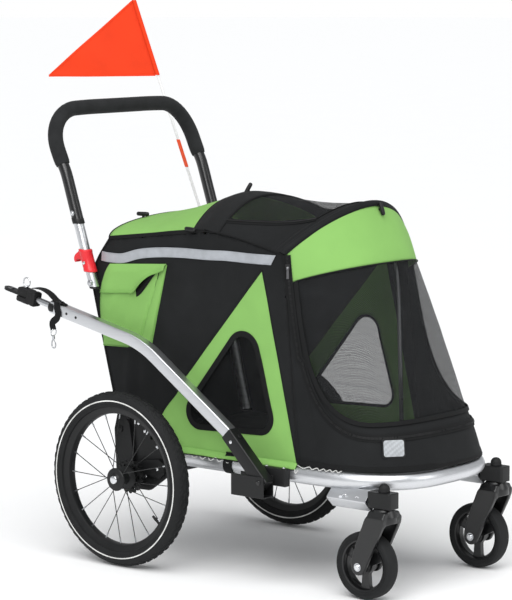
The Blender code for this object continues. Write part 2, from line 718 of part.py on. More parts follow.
def front_bow():
    """Wire bow that holds the cabin's front open and lies down as the frame folds."""
    half = 0.186
    foot = (-0.430, 0.2920)
    shoulder = (-0.418, 0.600)
    path = [(-half, *foot), (-half, *shoulder)]
    for k in range(13):
        part = k / 6.0 - 1.0
        inside = arch_point(part, ((-0.404, 0.690), (-0.462, 0.812), 0.88))
        path.append((inside.x * half / CABIN_HALF, inside.y, inside.z))
    path += [(half, *shoulder), (half, *foot)]
    pivot = (0.0, *foot)
    bow = sweep("front_bow", path, circle(BOW_WIRE_R, 8), "steel", side=Vector((0, 1, 0)), pivot=pivot)
    reach = CABIN_HALF - CLOTH - GAP
    pins = [rod("pin", (s * (half - 0.002), *foot), (s * reach, *foot), 0.0045, "steel", 8)
            for s in (-1, 1)]
    unite(bow, *pins)


# ------------------------------------------------------------------ folding frame and handle

def lean_point(x, distance, offset=0.0):
    """Point on a handle leg's axis, a distance up from the handle's hinge."""
    return Vector((x + offset, HANDLE_PIVOT[0] + distance * math.sin(HANDLE_LEAN),
                   HANDLE_PIVOT[1] + distance * math.cos(HANDLE_LEAN)))


def upright(side, suffix):
    """Tube from the frame's hinge to the handle's hinge, with both hinge pins."""
    x = side * UPRIGHT_X
    low = Vector((x, *FOLD_PIVOT))
    high = Vector((x, *HANDLE_PIVOT))
    along = (high - low).normalized()
    pivot = (0.0, *FOLD_PIVOT)
    tube = rod("upright_" + suffix, low - along * 0.013, high + along * 0.011, UPRIGHT_R, "aluminium",
               14, pivot)
    fold_pin = rod("pin", low, (side * (GUSSET_INNER - GAP), *FOLD_PIVOT), HINGE_PIN_R, "steel", 12)
    hinge_pin = rod("pin", high, (side * (HANDLE_X - POST_R - GAP), *HANDLE_PIVOT), HINGE_PIN_R,
                    "steel", 12)
    unite(tube, fold_pin, hinge_pin)


def handle_post(side, suffix):
    """Lower handle leg: slotted outside for the snap button, with the hinge bolt's head."""
    x = side * HANDLE_X
    pivot = (0.0, *HANDLE_PIVOT)
    post = rod("handle_post_" + suffix, lean_point(x, -0.014), lean_point(x, POST_TOP), POST_R,
               "aluminium", 16, pivot)
    slot = sweep("slot", [lean_point(x + side * POST_R, 0.128), lean_point(x + side * POST_R, 0.240)],
                 rounded_rect(0.0035, 0.0052, 0.001, 1), "steel")
    cut(post, slot)
    head = rod("head", lean_point(x + side * 0.008, 0.0), lean_point(x + side * 0.0155, 0.0), 0.0065,
               "steel", 6)
    unite(post, head)


def lock_sleeve(side, suffix):
    """Red sleeve with a finger hook, slid up the leg to free the handle's hinge."""
    x = side * HANDLE_X
    pivot = (0.0, *HANDLE_PIVOT)
    sleeve = sweep("lock_sleeve_" + suffix, [lean_point(x, up) for up in SLEEVE_SPAN],
                   circle(SLEEVE_R, 18), "red_plastic", hollow=circle(POST_R + 0.0005, 18), pivot=pivot)
    back = Vector((0.0, math.cos(HANDLE_LEAN), -math.sin(HANDLE_LEAN)))
    along = Vector((0.0, math.sin(HANDLE_LEAN), math.cos(HANDLE_LEAN)))
    root = Vector((0.0, *HANDLE_PIVOT))
    shape = [(0.0145, 0.050), (0.0145, 0.076), (0.030, 0.079), (0.033, 0.074), (0.033, 0.064),
             (0.030, 0.064), (0.028, 0.070), (0.020, 0.066)]
    spots = [root + back * a + along * b for a, b in shape]
    hook = prism("hook", [(p.y, p.z) for p in spots], x - 0.009, x + 0.009, "red_plastic")
    unite(sleeve, hook)


def handle_path():
    """One leg's foot, up through its slight bend, round the top bar and down to the other foot."""
    knee = lean_point(HANDLE_X, KNEE_UP)
    half = [lean_point(HANDLE_X, TUBE_FOOT), lean_point(HANDLE_X, KNEE_UP - 0.012)]
    corner_z = TOP_BAR_Z - BEND_R

    def leg_y(z):
        share = (z - knee.z) / (TOP_BAR_Z - knee.z)
        return knee.y + (TOP_BAR_Y - knee.y) * (1.0 - (1.0 - share) ** 1.5)

    for z in (knee.z + 0.006, lean_point(0.0, FOAM_START).z):
        half.append(Vector((HANDLE_X, leg_y(z), z)))
    for k in range(6):
        turn = math.radians(90.0 * k / 5.0)
        z = corner_z + BEND_R * math.sin(turn)
        half.append(Vector((HANDLE_X - BEND_R + BEND_R * math.cos(turn), leg_y(z), z)))
    half.append(Vector((0.05, TOP_BAR_Y, TOP_BAR_Z + 0.001)))
    mirrored = [Vector((-p.x, p.y, p.z)) for p in reversed(half)]
    return half + mirrored


def handle_top():
    """Grip tube that telescopes over the posts, and the foam around its loop."""
    pivot = (0.0, *HANDLE_PIVOT)
    path = handle_path()
    back = Vector((0.0, 1.0, -0.3))
    tube = sweep("handle_tube", path, circle(GRIP_R, 10), "black_paint", side=back, pivot=pivot)
    bores = []
    for side in (-1, 1):
        x = side * HANDLE_X
        bores.append(rod("bore", lean_point(x, 0.130), lean_point(x, 0.2500), POST_R + 0.0005, "steel", 16))
        window = (lean_point(x + side * 0.006, BUTTON_UP), lean_point(x + side * 0.020, BUTTON_UP))
        bores.append(rod("window", *window, 0.0047, "steel", 12))
    cut(tube, *bores)
    covered = [p for p in path if p.z > lean_point(0.0, FOAM_START).z - 0.0001]
    sweep("handle_foam", covered, circle(FOAM_R, 10), "foam", side=back,
          hollow=circle(GRIP_R + 0.0010, 10), pivot=pivot)


def snap_button(side, suffix):
    """Spring button in the leg's slot that catches in the grip tube's window."""
    x = side * HANDLE_X
    root = lean_point(x + side * 0.0110, BUTTON_UP)
    tip = lean_point(x + side * 0.0165, BUTTON_UP)
    rod("snap_button_" + suffix, root, tip, 0.0040, "steel", 12, pivot=root)


# ------------------------------------------------------------------ tow arm and hitch

def arm_frame():
    """Unit vectors along the arm's last straight and square to it, in the YZ plane."""
    run = Vector((0.0, ARM_END[0] - ARM_BEND[0], ARM_END[1] - ARM_BEND[1])).normalized()
    return run, Vector((0.0, -run.z, run.y))


def arm_spot(along, up, x=ARM_X):
    run, rise = arm_frame()
    return Vector((x, ARM_END[0], ARM_END[1])) + run * along + rise * up


def tow_arm():
    """Square tube with one long bend, its rear spigot, and the black socket on its front end."""
    pivot = Vector((ARM_X, *ARM_PIVOT))
    mouth = Vector((ARM_X, *ARM_MOUTH))
    bend = Vector((ARM_X, *ARM_BEND))
    end = Vector((ARM_X, *ARM_END))
    foot = (mouth - pivot).normalized()
    first = (bend - mouth).normalized()
    last = (end - bend).normalized()
    half = 0.5 * first.angle(last)
    centre = bend + (last - first).normalized() * (ARM_BEND_R / math.cos(half))
    start = bend - first * (ARM_BEND_R * math.tan(half)) - centre
    path = [pivot + foot * 0.040, mouth + foot * 0.004]
    for k in range(9):
        turn = 2.0 * half * k / 8.0
        path.append(centre + start * math.cos(turn) + first * (ARM_BEND_R * math.sin(turn)))
    path.append(end)
    square = rounded_rect(ARM_HALF, ARM_HALF_HIGH, 0.003, 2)
    arm = sweep("tow_arm", path, square, "aluminium", side=Vector((1, 0, 0)), pivot=pivot)
    spigot = rod("spigot", end - last * 0.004, end + last * 0.050, 0.0075, "steel", 14)
    unite(arm, spigot)
    socket = sweep("tow_socket", [pivot - foot * 0.012, mouth], rounded_rect(0.0145, 0.0160, 0.003, 2),
                   "black_paint", side=Vector((1, 0, 0)), pivot=pivot)
    room = sweep("room", [pivot + foot * 0.0395, mouth + foot * 0.020],
                 rounded_rect(ARM_HALF + GAP, ARM_HALF_HIGH + GAP, 0.003, 2), "steel",
                 side=Vector((1, 0, 0)))
    pin_bore = rod("bore", (ARM_X - 0.03, *ARM_PIVOT), (ARM_X + 0.03, *ARM_PIVOT), 0.0052, "steel", 14)
    cut(socket, room, pin_bore)


def tow_bracket():
    """Open-topped channel that carries the arm's pivot, with its clamp on the side rail."""
    low_x = ARM_X - 0.0180
    high_x = ARM_X + 0.0180
    channel = [(low_x, 0.2010), (high_x, 0.2010), (high_x, 0.2490), (high_x - 0.003, 0.2490),
               (high_x - 0.003, 0.2040), (low_x + 0.003, 0.2040), (low_x + 0.003, 0.2490), (low_x, 0.2490)]
    bracket = prism("tow_bracket", channel, -0.4100, -0.3180, "black_paint", "Y")
    clamp = box("clamp", (high_x - 0.001, -0.4410, 0.2260), (-RAIL_X - RAIL_R - GAP, -0.3740, 0.2660),
                "black_paint")
    pin = rod("pin", (low_x - 0.001, *ARM_PIVOT), (high_x + 0.001, *ARM_PIVOT), 0.0048, "steel", 14)
    unite(bracket, clamp, pin)


def hitch():
    """Rubber coupler on the arm's spigot, the dropout plate hinged to it and its pull pin."""
    across = Vector((1.0, 0.0, 0.0))
    coupler = sweep("hitch_coupler", [arm_spot(0.052, 0.0), arm_spot(0.108, 0.0)],
                    rounded_rect(0.0135, 0.0170, 0.004, 2), "rubber", side=across, pivot=arm_spot(0.0, 0.0))
    slot_shape = [arm_spot(SLOT_END, 0.0042), arm_spot(0.112, 0.0042), arm_spot(0.112, -0.0042),
                  arm_spot(SLOT_END, -0.0042)]
    slot = prism("slot", [(p.y, p.z) for p in slot_shape], ARM_X - 0.02, ARM_X + 0.02, "steel")
    bore = rod("bore", arm_spot(PIN_ALONG, 0.03), arm_spot(PIN_ALONG, -0.03), PIN_HOLE_R, "steel", 12)
    cut(coupler, slot, bore)

    outline = [(0.082, -0.0095), (0.082, 0.0095), (0.146, 0.0110), (0.154, 0.0078), (0.157, 0.0),
               (0.154, -0.0078), (0.146, -0.0110)]
    loops = [outline, circle(EYE_R, 16, (EYE_ALONG, 0.0)), circle(PIN_HOLE_R, 12, (PIN_ALONG, 0.0))]
    flat = [p for loop in loops for p in loop]
    count = len(flat)
    points = [arm_spot(a, -PLATE_HALF, ARM_X + b) for a, b in flat]
    points += [arm_spot(a, PLATE_HALF, ARM_X + b) for a, b in flat]
    cap = tessellate_polygon([[Vector((a, b, 0.0)) for a, b in loop] for loop in loops])
    faces = [tuple(tri) for tri in cap] + [tuple(i + count for i in reversed(tri)) for tri in cap]
    start = 0
    for loop in loops:
        for k in range(len(loop)):
            a = start + k
            b = start + (k + 1) % len(loop)
            faces.append((a, b, b + count, a + count))
        start += len(loop)
    add_solid("hitch_plate", points, faces, "black_paint", pivot=arm_spot(PIN_ALONG, 0.0))

    pin = rod("pull_pin", arm_spot(PIN_ALONG, -0.020), arm_spot(PIN_ALONG, 0.022), 0.0030, "steel", 12,
              pivot=arm_spot(PIN_ALONG, 0.0))
    ring = torus("ring", arm_spot(PIN_ALONG, 0.0305), across, 0.0105, 0.0017)
    unite(pin, ring)


def torus(name, centre, normal, radius, wire, around=12, sides=6):
    one = normal.orthogonal().normalized()
    two = normal.cross(one).normalized()
    points = []
    for k in range(around):
        turn = 2.0 * math.pi * k / around
        out = one * math.cos(turn) + two * math.sin(turn)
        for j in range(sides):
            tilt = 2.0 * math.pi * j / sides
            points.append(centre + out * (radius + wire * math.cos(tilt)) + normal * (wire * math.sin(tilt)))
    faces = []
    for k in range(around):
        for j in range(sides):
            a = k * sides + j
            b = k * sides + (j + 1) % sides
            c = ((k + 1) % around) * sides + (j + 1) % sides
            d = ((k + 1) % around) * sides + j
            faces.append((a, b, c, d))
    return add_solid(name, points, faces, "steel")


def safety_strap():
    """Webbing loop from the arm's end bolt over the coupler, one flat band."""
    spots = [(-0.020, 0.0150), (0.010, 0.0230), (0.040, 0.0300), (0.066, 0.0260)]
    path = [arm_spot(a, b) for a, b in spots]
    sweep("safety_strap", path, rounded_rect(0.0105, 0.0013, 0.0010, 1), "black_fabric",
          side=Vector((1, 0, 0)), pivot=arm_spot(0.0, 0.0))


# ------------------------------------------------------------------ flag

def pole_direction():
    return Vector((0.0, POLE_TOP[0] - POLE_FOOT[0], POLE_TOP[1] - POLE_FOOT[1])).normalized()


def flag_and_pole():
    """Pole standing in its socket on the +X gusset, with the flag's pennant at its top."""
    foot = Vector((POLE_X, *POLE_FOOT))
    top = Vector((POLE_X, *POLE_TOP))
    along = pole_direction()
    rod("flag_pole", foot, top, POLE_R, "white_rod", 10, pivot=foot)
    socket = sweep("flag_socket", [foot - along * 0.006, foot + along * 0.062], circle(0.0085, 14),
                   "black_plastic")
    bore = rod("bore", foot - along * GAP, foot + along * 0.080, POLE_R + GAP, "steel", 14)
    cut(socket, bore)
    tab = box("tab", (GUSSET_INNER + GUSSET_THICK + GAP, 0.052, 0.308), (POLE_X - 0.0050, 0.072, 0.334),
              "black_plastic")
    unite(socket, tab)
    hem = top - along * 0.004
    low = top - along * 0.204
    tip = low + Vector((-0.152, 0.227, -0.004))
    out = (tip - low).cross(hem - low).normalized() * 0.0009
    start = (tip - low).normalized() * (POLE_R + GAP)
    points = [p + s for s in (out, -out) for p in (low + start, hem + start, tip)]
    faces = [(0, 1, 2), (5, 4, 3), (0, 3, 4, 1), (1, 4, 5, 2), (2, 5, 3, 0)]
    add_solid("flag", points, faces, "orange_nylon", pivot=foot)


# ------------------------------------------------------------------ parking brake

def parking_brake():
    """Cross bar between the gussets with a foot pedal; its ends swing into the brake discs."""
    y, z = BRAKE_PIVOT
    half = GUSSET_INNER - GAP
    bar = rod("parking_brake", (-half, y, z), (half, y, z), BRAKE_BAR_R, "black_paint", 10, pivot=(0.0, y, z))
    pedal = box("pedal", (-0.045, y + 0.002, z - 0.006), (0.045, y + 0.062, z + 0.004), "black_plastic")
    unite(bar, pedal)


def build():
    """Make every piece, then centre the model on the origin."""
    clear_scene()
    base_hoop()
    base_tubes()
    floor()
    cabin_front()
    rear_wall()
    roof()
    side_pocket()
    reflector("reflector_front", -0.40)
    reflector("reflector_side", 0.72)
    front_bow()
    handle_top()
    tow_bracket()
    tow_arm()
    hitch()
    safety_strap()
    flag_and_pole()
    parking_brake()
    for side, suffix in ((-1, "l"), (1, "r")):
        rear_tyre(side, suffix)
        rear_wheel(side, suffix)
        caster(side, suffix)
        gusset(side, suffix)
        side_wall(side, suffix)
        upright(side, suffix)
        handle_post(side, suffix)
        lock_sleeve(side, suffix)
        snap_button(side, suffix)
    for obj in bpy.context.scene.objects:
        obj.location.y += ORIGIN_SHIFT


build()
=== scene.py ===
"""Looks of the pet stroller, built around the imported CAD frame.

Positions are written as on the drawing: y runs from the rear axle and z from the floor;
make() moves every piece along Y by SHIFT, the rear axle's place in the frame.
"""
import json
import math

import bmesh
import bpy
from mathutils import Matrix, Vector, noise
from mathutils.geometry import delaunay_2d_cdt, tessellate_polygon


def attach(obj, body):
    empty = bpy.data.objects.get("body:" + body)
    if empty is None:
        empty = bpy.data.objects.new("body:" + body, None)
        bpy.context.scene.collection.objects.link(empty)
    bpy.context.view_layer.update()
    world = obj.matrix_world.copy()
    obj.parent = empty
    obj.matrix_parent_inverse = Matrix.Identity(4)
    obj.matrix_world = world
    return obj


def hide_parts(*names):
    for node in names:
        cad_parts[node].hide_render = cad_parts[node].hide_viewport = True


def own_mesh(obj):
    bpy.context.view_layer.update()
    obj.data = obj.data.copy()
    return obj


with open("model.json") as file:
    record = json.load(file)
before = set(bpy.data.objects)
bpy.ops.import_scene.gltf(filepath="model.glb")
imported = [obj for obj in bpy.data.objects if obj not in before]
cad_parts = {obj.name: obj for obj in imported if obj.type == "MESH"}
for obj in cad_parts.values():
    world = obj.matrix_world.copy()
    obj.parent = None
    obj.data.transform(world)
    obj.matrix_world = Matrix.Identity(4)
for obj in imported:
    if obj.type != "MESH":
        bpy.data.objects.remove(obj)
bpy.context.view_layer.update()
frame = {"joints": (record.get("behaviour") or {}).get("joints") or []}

JOINTS = {j["name"]: j for j in frame["joints"]}
SHIFT = JOINTS["rear_wheel_l"]["pos_m"][1]
X_AXIS = Vector((1.0, 0.0, 0.0))
Y_AXIS = Vector((0.0, 1.0, 0.0))
Z_AXIS = Vector((0.0, 0.0, 1.0))


# ------------------------------------------------------------------ materials

class Nodes:
    """A few short words for building a shader tree."""

    def __init__(self, name, base, roughness, metallic=0.0, sheen=0.0, coat=0.0, shine=0.5):
        self.material = bpy.data.materials.new(name)
        self.material.use_nodes = True
        self.tree = self.material.node_tree
        self.shader = self.tree.nodes["Principled BSDF"]
        self.base = base
        self.set("Base Color", (*base, 1.0))
        self.set("Roughness", roughness)
        self.set("Metallic", metallic)
        self.set("Sheen Weight", sheen)
        self.set("Sheen Roughness", 0.4)
        self.set("Coat Weight", coat)
        self.set("Coat Roughness", 0.25)
        self.set("Specular IOR Level", shine)
        self.where = self.node("ShaderNodeTexCoord").outputs["Object"]
        self.material.diffuse_color = (*base, 1.0)

    def node(self, kind, **values):
        made = self.tree.nodes.new(kind)
        for key, value in values.items():
            setattr(made, key, value)
        return made

    def set(self, socket, value):
        self.shader.inputs[socket].default_value = value

    def link(self, source, target):
        if isinstance(source, (int, float)):
            target.default_value = source
        else:
            self.tree.links.new(source, target)

    def maths(self, operation, one, two=0.0):
        made = self.node("ShaderNodeMath", operation=operation)
        self.link(one, made.inputs[0])
        self.link(two, made.inputs[1])
        return made.outputs[0]

    def along(self, direction):
        """Distance along a direction of the frame, in metres."""
        made = self.node("ShaderNodeVectorMath", operation="DOT_PRODUCT")
        self.tree.links.new(self.where, made.inputs[0])
        made.inputs[1].default_value = direction
        return made.outputs["Value"]

    def waves(self, direction, pitch, phase=0.0):
        """Sine ribs across a direction."""
        turn = self.maths("MULTIPLY", self.along(direction), 2.0 * math.pi / pitch)
        return self.maths("SINE", self.maths("ADD", turn, phase))

    def noise(self, scale, detail=3.0, stretch=None):
        made = self.node("ShaderNodeTexNoise")
        made.inputs["Scale"].default_value = scale
        made.inputs["Detail"].default_value = detail
        made.inputs["Roughness"].default_value = 0.55
        place = self.where
        if stretch:
            mapping = self.node("ShaderNodeMapping")
            mapping.inputs["Scale"].default_value = stretch
            self.tree.links.new(place, mapping.inputs["Vector"])
            place = mapping.outputs["Vector"]
        self.tree.links.new(place, made.inputs["Vector"])
        return made.outputs[0]

    def cells(self, scale):
        made = self.node("ShaderNodeTexVoronoi")
        made.inputs["Scale"].default_value = scale
        self.tree.links.new(self.where, made.inputs["Vector"])
        return made.outputs["Distance"]

    def ramp(self, value, low, high, dark, light):
        """Colour that runs from dark to light as the value goes from low to high."""
        made = self.node("ShaderNodeValToRGB")
        made.color_ramp.elements[0].position = low
        made.color_ramp.elements[0].color = (*dark, 1.0)
        made.color_ramp.elements[1].position = high
        made.color_ramp.elements[1].color = (*light, 1.0)
        self.link(value, made.inputs["Fac"])
        return made.outputs["Color"]

    def colour(self, value, spread):
        """The base colour, darker and lighter by the spread."""
        dark = [c * (1.0 - spread) for c in self.base]
        light = [min(c * (1.0 + spread), 1.0) for c in self.base]
        self.tree.links.new(self.ramp(value, 0.3, 0.7, dark, light), self.shader.inputs["Base Color"])

    def rough(self, value, low, high):
        made = self.node("ShaderNodeMapRange")
        self.link(value, made.inputs["Value"])
        made.inputs["To Min"].default_value = low
        made.inputs["To Max"].default_value = high
        self.tree.links.new(made.outputs["Result"], self.shader.inputs["Roughness"])

    def bump(self, *layers):
        """Bump layers, each (height, strength, distance)."""
        normal = None
        for height, strength, distance in layers:
            made = self.node("ShaderNodeBump")
            made.inputs["Strength"].default_value = strength
            made.inputs["Distance"].default_value = distance
            self.link(height, made.inputs["Height"])
            if normal:
                self.tree.links.new(normal, made.inputs["Normal"])
            normal = made.outputs["Normal"]
        self.tree.links.new(normal, self.shader.inputs["Normal"])


def woven(name, base, pitch=0.0011, spread=0.1):
    """Coated plain-weave cloth: yarns crossing, soft creases and uneven dye."""
    roughness = 0.72
    m = Nodes(name, base, roughness, sheen=0.02, shine=0.16)
    warp = m.waves((0.7, 0.0, 1.0), pitch)
    weft = m.waves((0.7, 1.0, 0.0), pitch, 1.6)
    yarns = m.maths("MAXIMUM", warp, weft)
    cloudy = m.noise(9.0, 4.0)
    tone = m.maths("ADD", m.maths("MULTIPLY", yarns, 0.16), m.maths("MULTIPLY", cloudy, 0.84))
    m.colour(tone, spread)
    m.rough(m.noise(26.0), roughness - 0.08, roughness + 0.1)
    m.bump((yarns, 0.3, 0.00025), (m.noise(38.0, 4.0), 0.35, 0.0012), (cloudy, 0.25, 0.004))
    return m.material


def netting(name, base, pitch, open_share):
    """Knitted net: round holes in a staggered grid, cut by alpha."""
    m = Nodes(name, base, 0.62, shine=0.2)
    one = m.waves((0.62, 0.5, 0.87), pitch)
    two = m.waves((0.62, 0.5, -0.87), pitch, 0.8)
    three = m.waves((0.5, -1.0, 0.12), pitch, 0.4)
    total = m.maths("ADD", m.maths("ADD", one, two), three)
    hole = m.maths("GREATER_THAN", total, 1.5 - 3.0 * open_share - 0.6)
    m.link(m.maths("SUBTRACT", 1.0 - 0.5 * open_share, m.maths("MULTIPLY", hole, open_share)),
           m.shader.inputs["Alpha"])
    m.colour(m.noise(30.0), 0.2)
    m.bump((total, 0.5, 0.0004))
    return m.material


def metal(name, base, roughness, brushed=(1.0, 1.0, 1.0)):
    """Drawn and anodised or plated metal: fine lines, finger marks and small dents."""
    m = Nodes(name, base, roughness, metallic=1.0)
    lines = m.noise(260.0, 3.0, brushed)
    marks = m.noise(14.0, 5.0)
    m.colour(m.maths("ADD", m.maths("MULTIPLY", lines, 0.5), m.maths("MULTIPLY", marks, 0.5)), 0.06)
    m.rough(marks, roughness - 0.08, roughness + 0.12)
    m.bump((lines, 0.12, 0.0002), (m.noise(60.0), 0.06, 0.0006))
    return m.material


def moulded(name, base, roughness, grain=420.0, spread=0.12, strength=0.25, coat=0.0, shine=0.32):
    """Moulded plastic, rubber or powder coat: fine grain and lightly scuffed."""
    m = Nodes(name, base, roughness, coat=coat, shine=shine)
    fine = m.noise(grain, 2.0)
    scuffs = m.noise(22.0, 6.0)
    m.colour(scuffs, spread)
    m.rough(scuffs, roughness - 0.08, roughness + 0.14)
    m.bump((fine, strength, 0.0003), (m.noise(45.0), 0.1, 0.0008))
    return m.material


def foam_grip(name, base):
    """Open-celled foam."""
    m = Nodes(name, base, 0.9, sheen=0.05, shine=0.2)
    pores = m.cells(700.0)
    m.colour(m.noise(40.0), 0.18)
    m.rough(pores, 0.82, 0.95)
    m.bump((pores, 0.5, 0.0006), (m.noise(110.0), 0.3, 0.0008))
    return m.material


def tread_rubber(name, base):
    """Dusty tyre rubber."""
    m = Nodes(name, base, 0.78, shine=0.25)
    dust = m.noise(30.0, 6.0)
    m.colour(dust, 0.3)
    m.rough(dust, 0.66, 0.92)
    m.bump((m.noise(500.0, 2.0), 0.3, 0.0004), (m.noise(90.0), 0.2, 0.0006))
    return m.material


def reflective(name, base):
    """Silver tape or lens: tiny prisms in diamonds under a glossy face."""
    m = Nodes(name, base, 0.3, metallic=0.35, coat=0.5)
    one = m.waves((0.5, 0.9, 0.9), 0.0042)
    two = m.waves((0.5, 0.9, -0.9), 0.0042)
    diamonds = m.maths("MULTIPLY", one, two)
    m.colour(m.maths("ADD", m.maths("MULTIPLY", diamonds, 0.35), m.noise(35.0)), 0.16)
    m.bump((diamonds, 0.35, 0.0005), (m.noise(60.0), 0.25, 0.001))
    return m.material


def flag_nylon(name, base):
    """Thin woven flag cloth."""
    m = Nodes(name, base, 0.6, shine=0.15)
    weave = m.maths("MAXIMUM", m.waves((0.7, 0.0, 1.0), 0.0016), m.waves((0.7, 1.0, 0.0), 0.0016))
    m.colour(m.maths("ADD", m.maths("MULTIPLY", weave, 0.2), m.noise(12.0)), 0.07)
    m.bump((weave, 0.25, 0.0003), (m.noise(20.0), 0.3, 0.003))
    return m.material


def floor_paint(name, base):
    """Plain pale floor."""
    m = Nodes(name, base, 0.75)
    m.colour(m.noise(3.0), 0.004)
    m.bump((m.noise(300.0), 0.05, 0.0004))
    return m.material


GREEN = woven("green_oxford", (0.222, 0.44, 0.116), spread=0.06)
GREEN_TRIM = woven("green_trim", (0.185, 0.385, 0.095))
BLACK_CLOTH = woven("black_oxford", (0.0105, 0.0112, 0.0118), spread=0.22)
BINDING = woven("black_binding", (0.007, 0.0073, 0.0076), pitch=0.0016, spread=0.25)
WEBBING = woven("black_webbing", (0.0085, 0.0088, 0.0092), pitch=0.0022, spread=0.3)
WHITE_WEBBING = woven("white_lacing", (0.62, 0.62, 0.6), pitch=0.002, spread=0.12)
NET = netting("black_net", (0.014, 0.015, 0.016), 0.0022, 0.35)
WINDOW_NET = netting("window_net", (0.014, 0.015, 0.016), 0.0022, 0.5)
ROOF_NET = netting("roof_net", (0.014, 0.015, 0.016), 0.0024, 0.36)
PAD_CLOTH = woven("pad_cloth", (0.03, 0.031, 0.033), spread=0.2)
ALUMINIUM = metal("satin_aluminium", (0.66, 0.67, 0.69), 0.36, (1.0, 0.06, 1.0))
STEEL = metal("zinc_steel", (0.55, 0.56, 0.58), 0.28)
GUNMETAL = metal("dark_slider", (0.12, 0.12, 0.125), 0.35)
CHROME = metal("bright_cap", (0.72, 0.73, 0.75), 0.16)
BLACK_PAINT = moulded("black_powder_coat", (0.0075, 0.0078, 0.0082), 0.4, 300.0)
BLACK_GLOSS = moulded("black_gloss_tube", (0.0055, 0.0056, 0.006), 0.22, 200.0, strength=0.08, shine=0.6)
MOULDED_GLOSS = moulded("black_glossy_moulding", (0.006, 0.0062, 0.0066), 0.3, 300.0, strength=0.1,
                        shine=0.55)
BLACK_PLASTIC = moulded("black_moulding", (0.0075, 0.0078, 0.0082), 0.44)
RED_PLASTIC = moulded("red_moulding", (0.7, 0.02, 0.028), 0.34, 350.0, spread=0.06, strength=0.1, coat=0.3)
WHITE_ROD = moulded("white_fibreglass", (0.8, 0.8, 0.79), 0.35, 300.0, spread=0.04, strength=0.08)
ORANGE_ROD = moulded("orange_sleeve", (0.83, 0.085, 0.02), 0.4, 300.0, spread=0.05, strength=0.08)
FOAM = foam_grip("grip_foam", (0.0175, 0.0182, 0.019))
TYRE = tread_rubber("tyre_rubber", (0.012, 0.0125, 0.013))
SIDE_STRIPE = tread_rubber("tyre_stripe", (0.7, 0.7, 0.68))
RUBBER = moulded("soft_rubber", (0.0075, 0.0076, 0.008), 0.62)
TAPE = reflective("reflective_tape", (0.4, 0.42, 0.45))
LENS = reflective("reflector_lens", (0.44, 0.46, 0.48))
ORANGE = flag_nylon("flag_nylon", (0.74, 0.043, 0.007))
BOARD = moulded("floor_board", (0.03, 0.031, 0.033), 0.7)


# ------------------------------------------------------------------ mesh building

CLOTH_THICK = 0.0013


class Piece:
    """Collects solids in drawing coordinates, then becomes one object."""

    def __init__(self, name):
        self.name = name
        self.points = []
        self.faces = []
        self.paints = []
        self.materials = []

    def add(self, points, faces, material):
        start = len(self.points)
        self.points += [Vector(p) for p in points]
        if material not in self.materials:
            self.materials.append(material)
        index = self.materials.index(material)
        for face in faces:
            self.faces.append(tuple(start + k for k in face))
            self.paints.append(index)
        return self

    def wire(self, path, radius, sides, material, **how):
        """A round rod or cord along a path."""
        return self.add(*tube(path, circle(radius, sides), **how), material)

    def sew(self, slot, *nodes, thick=0.0):
        """Becomes cloth of the cabin: a piece of the chassis with a mesh of its own."""
        return self.make("chassis", nodes, solid=thick, fold=True)

    def make(self, body, nodes=(), bevel=0.0, smooth=38.0, solid=0.0, melt=0.0, fold=None):
        mesh = bpy.data.meshes.new(self.name)
        mesh.from_pydata([(p.x, p.y + SHIFT, p.z) for p in self.points], [], self.faces)
        for material in self.materials:
            mesh.materials.append(material)
        for face, paint in zip(mesh.polygons, self.paints):
            face.material_index = paint
        shaped = bmesh.new()
        shaped.from_mesh(mesh)
        if not solid:
            bmesh.ops.recalc_face_normals(shaped, faces=shaped.faces)
        shaped.to_mesh(mesh)
        shaped.free()
        mesh.shade_smooth()
        mesh.set_sharp_from_angle(angle=math.radians(smooth))
        obj = bpy.data.objects.new(self.name, mesh)
        bpy.context.scene.collection.objects.link(obj)
        if melt:
            made = obj.modifiers.new("one_body", "REMESH")
            made.mode = "VOXEL"
            made.voxel_size = melt
            made.use_smooth_shade = True
            made = obj.modifiers.new("fillets", "SMOOTH")
            made.factor = 0.5
            made.iterations = 12
        if solid:
            made = obj.modifiers.new("thickness", "SOLIDIFY")
            made.thickness = abs(solid)
            made.offset = -1.0 if solid > 0.0 else 1.0
        if bevel:
            made = obj.modifiers.new("edges", "BEVEL")
            made.width = bevel
            made.segments = 2
            made.limit_method = "ANGLE"
            made.angle_limit = math.radians(40.0)
            made.harden_normals = False
        if nodes:
            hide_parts(*nodes)
        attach(obj, body)
        if fold:
            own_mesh(obj)
        return obj


def circle(radius, sides=24, centre=(0.0, 0.0)):
    """Regular polygon of a radius."""
    turns = [2.0 * math.pi * k / sides for k in range(sides)]
    return [(centre[0] + radius * math.cos(t), centre[1] + radius * math.sin(t)) for t in turns]


def rounded_rect(half_a, half_b, radius, steps=5):
    """Rectangle with round corners, given by its half sizes."""
    points = []
    for corner, (a, b) in enumerate(((1, 1), (-1, 1), (-1, -1), (1, -1))):
        for k in range(steps + 1):
            turn = math.radians(90.0 * corner + 90.0 * k / steps)
            points.append((a * (half_a - radius) + radius * math.cos(turn),
                           b * (half_b - radius) + radius * math.sin(turn)))
    return points


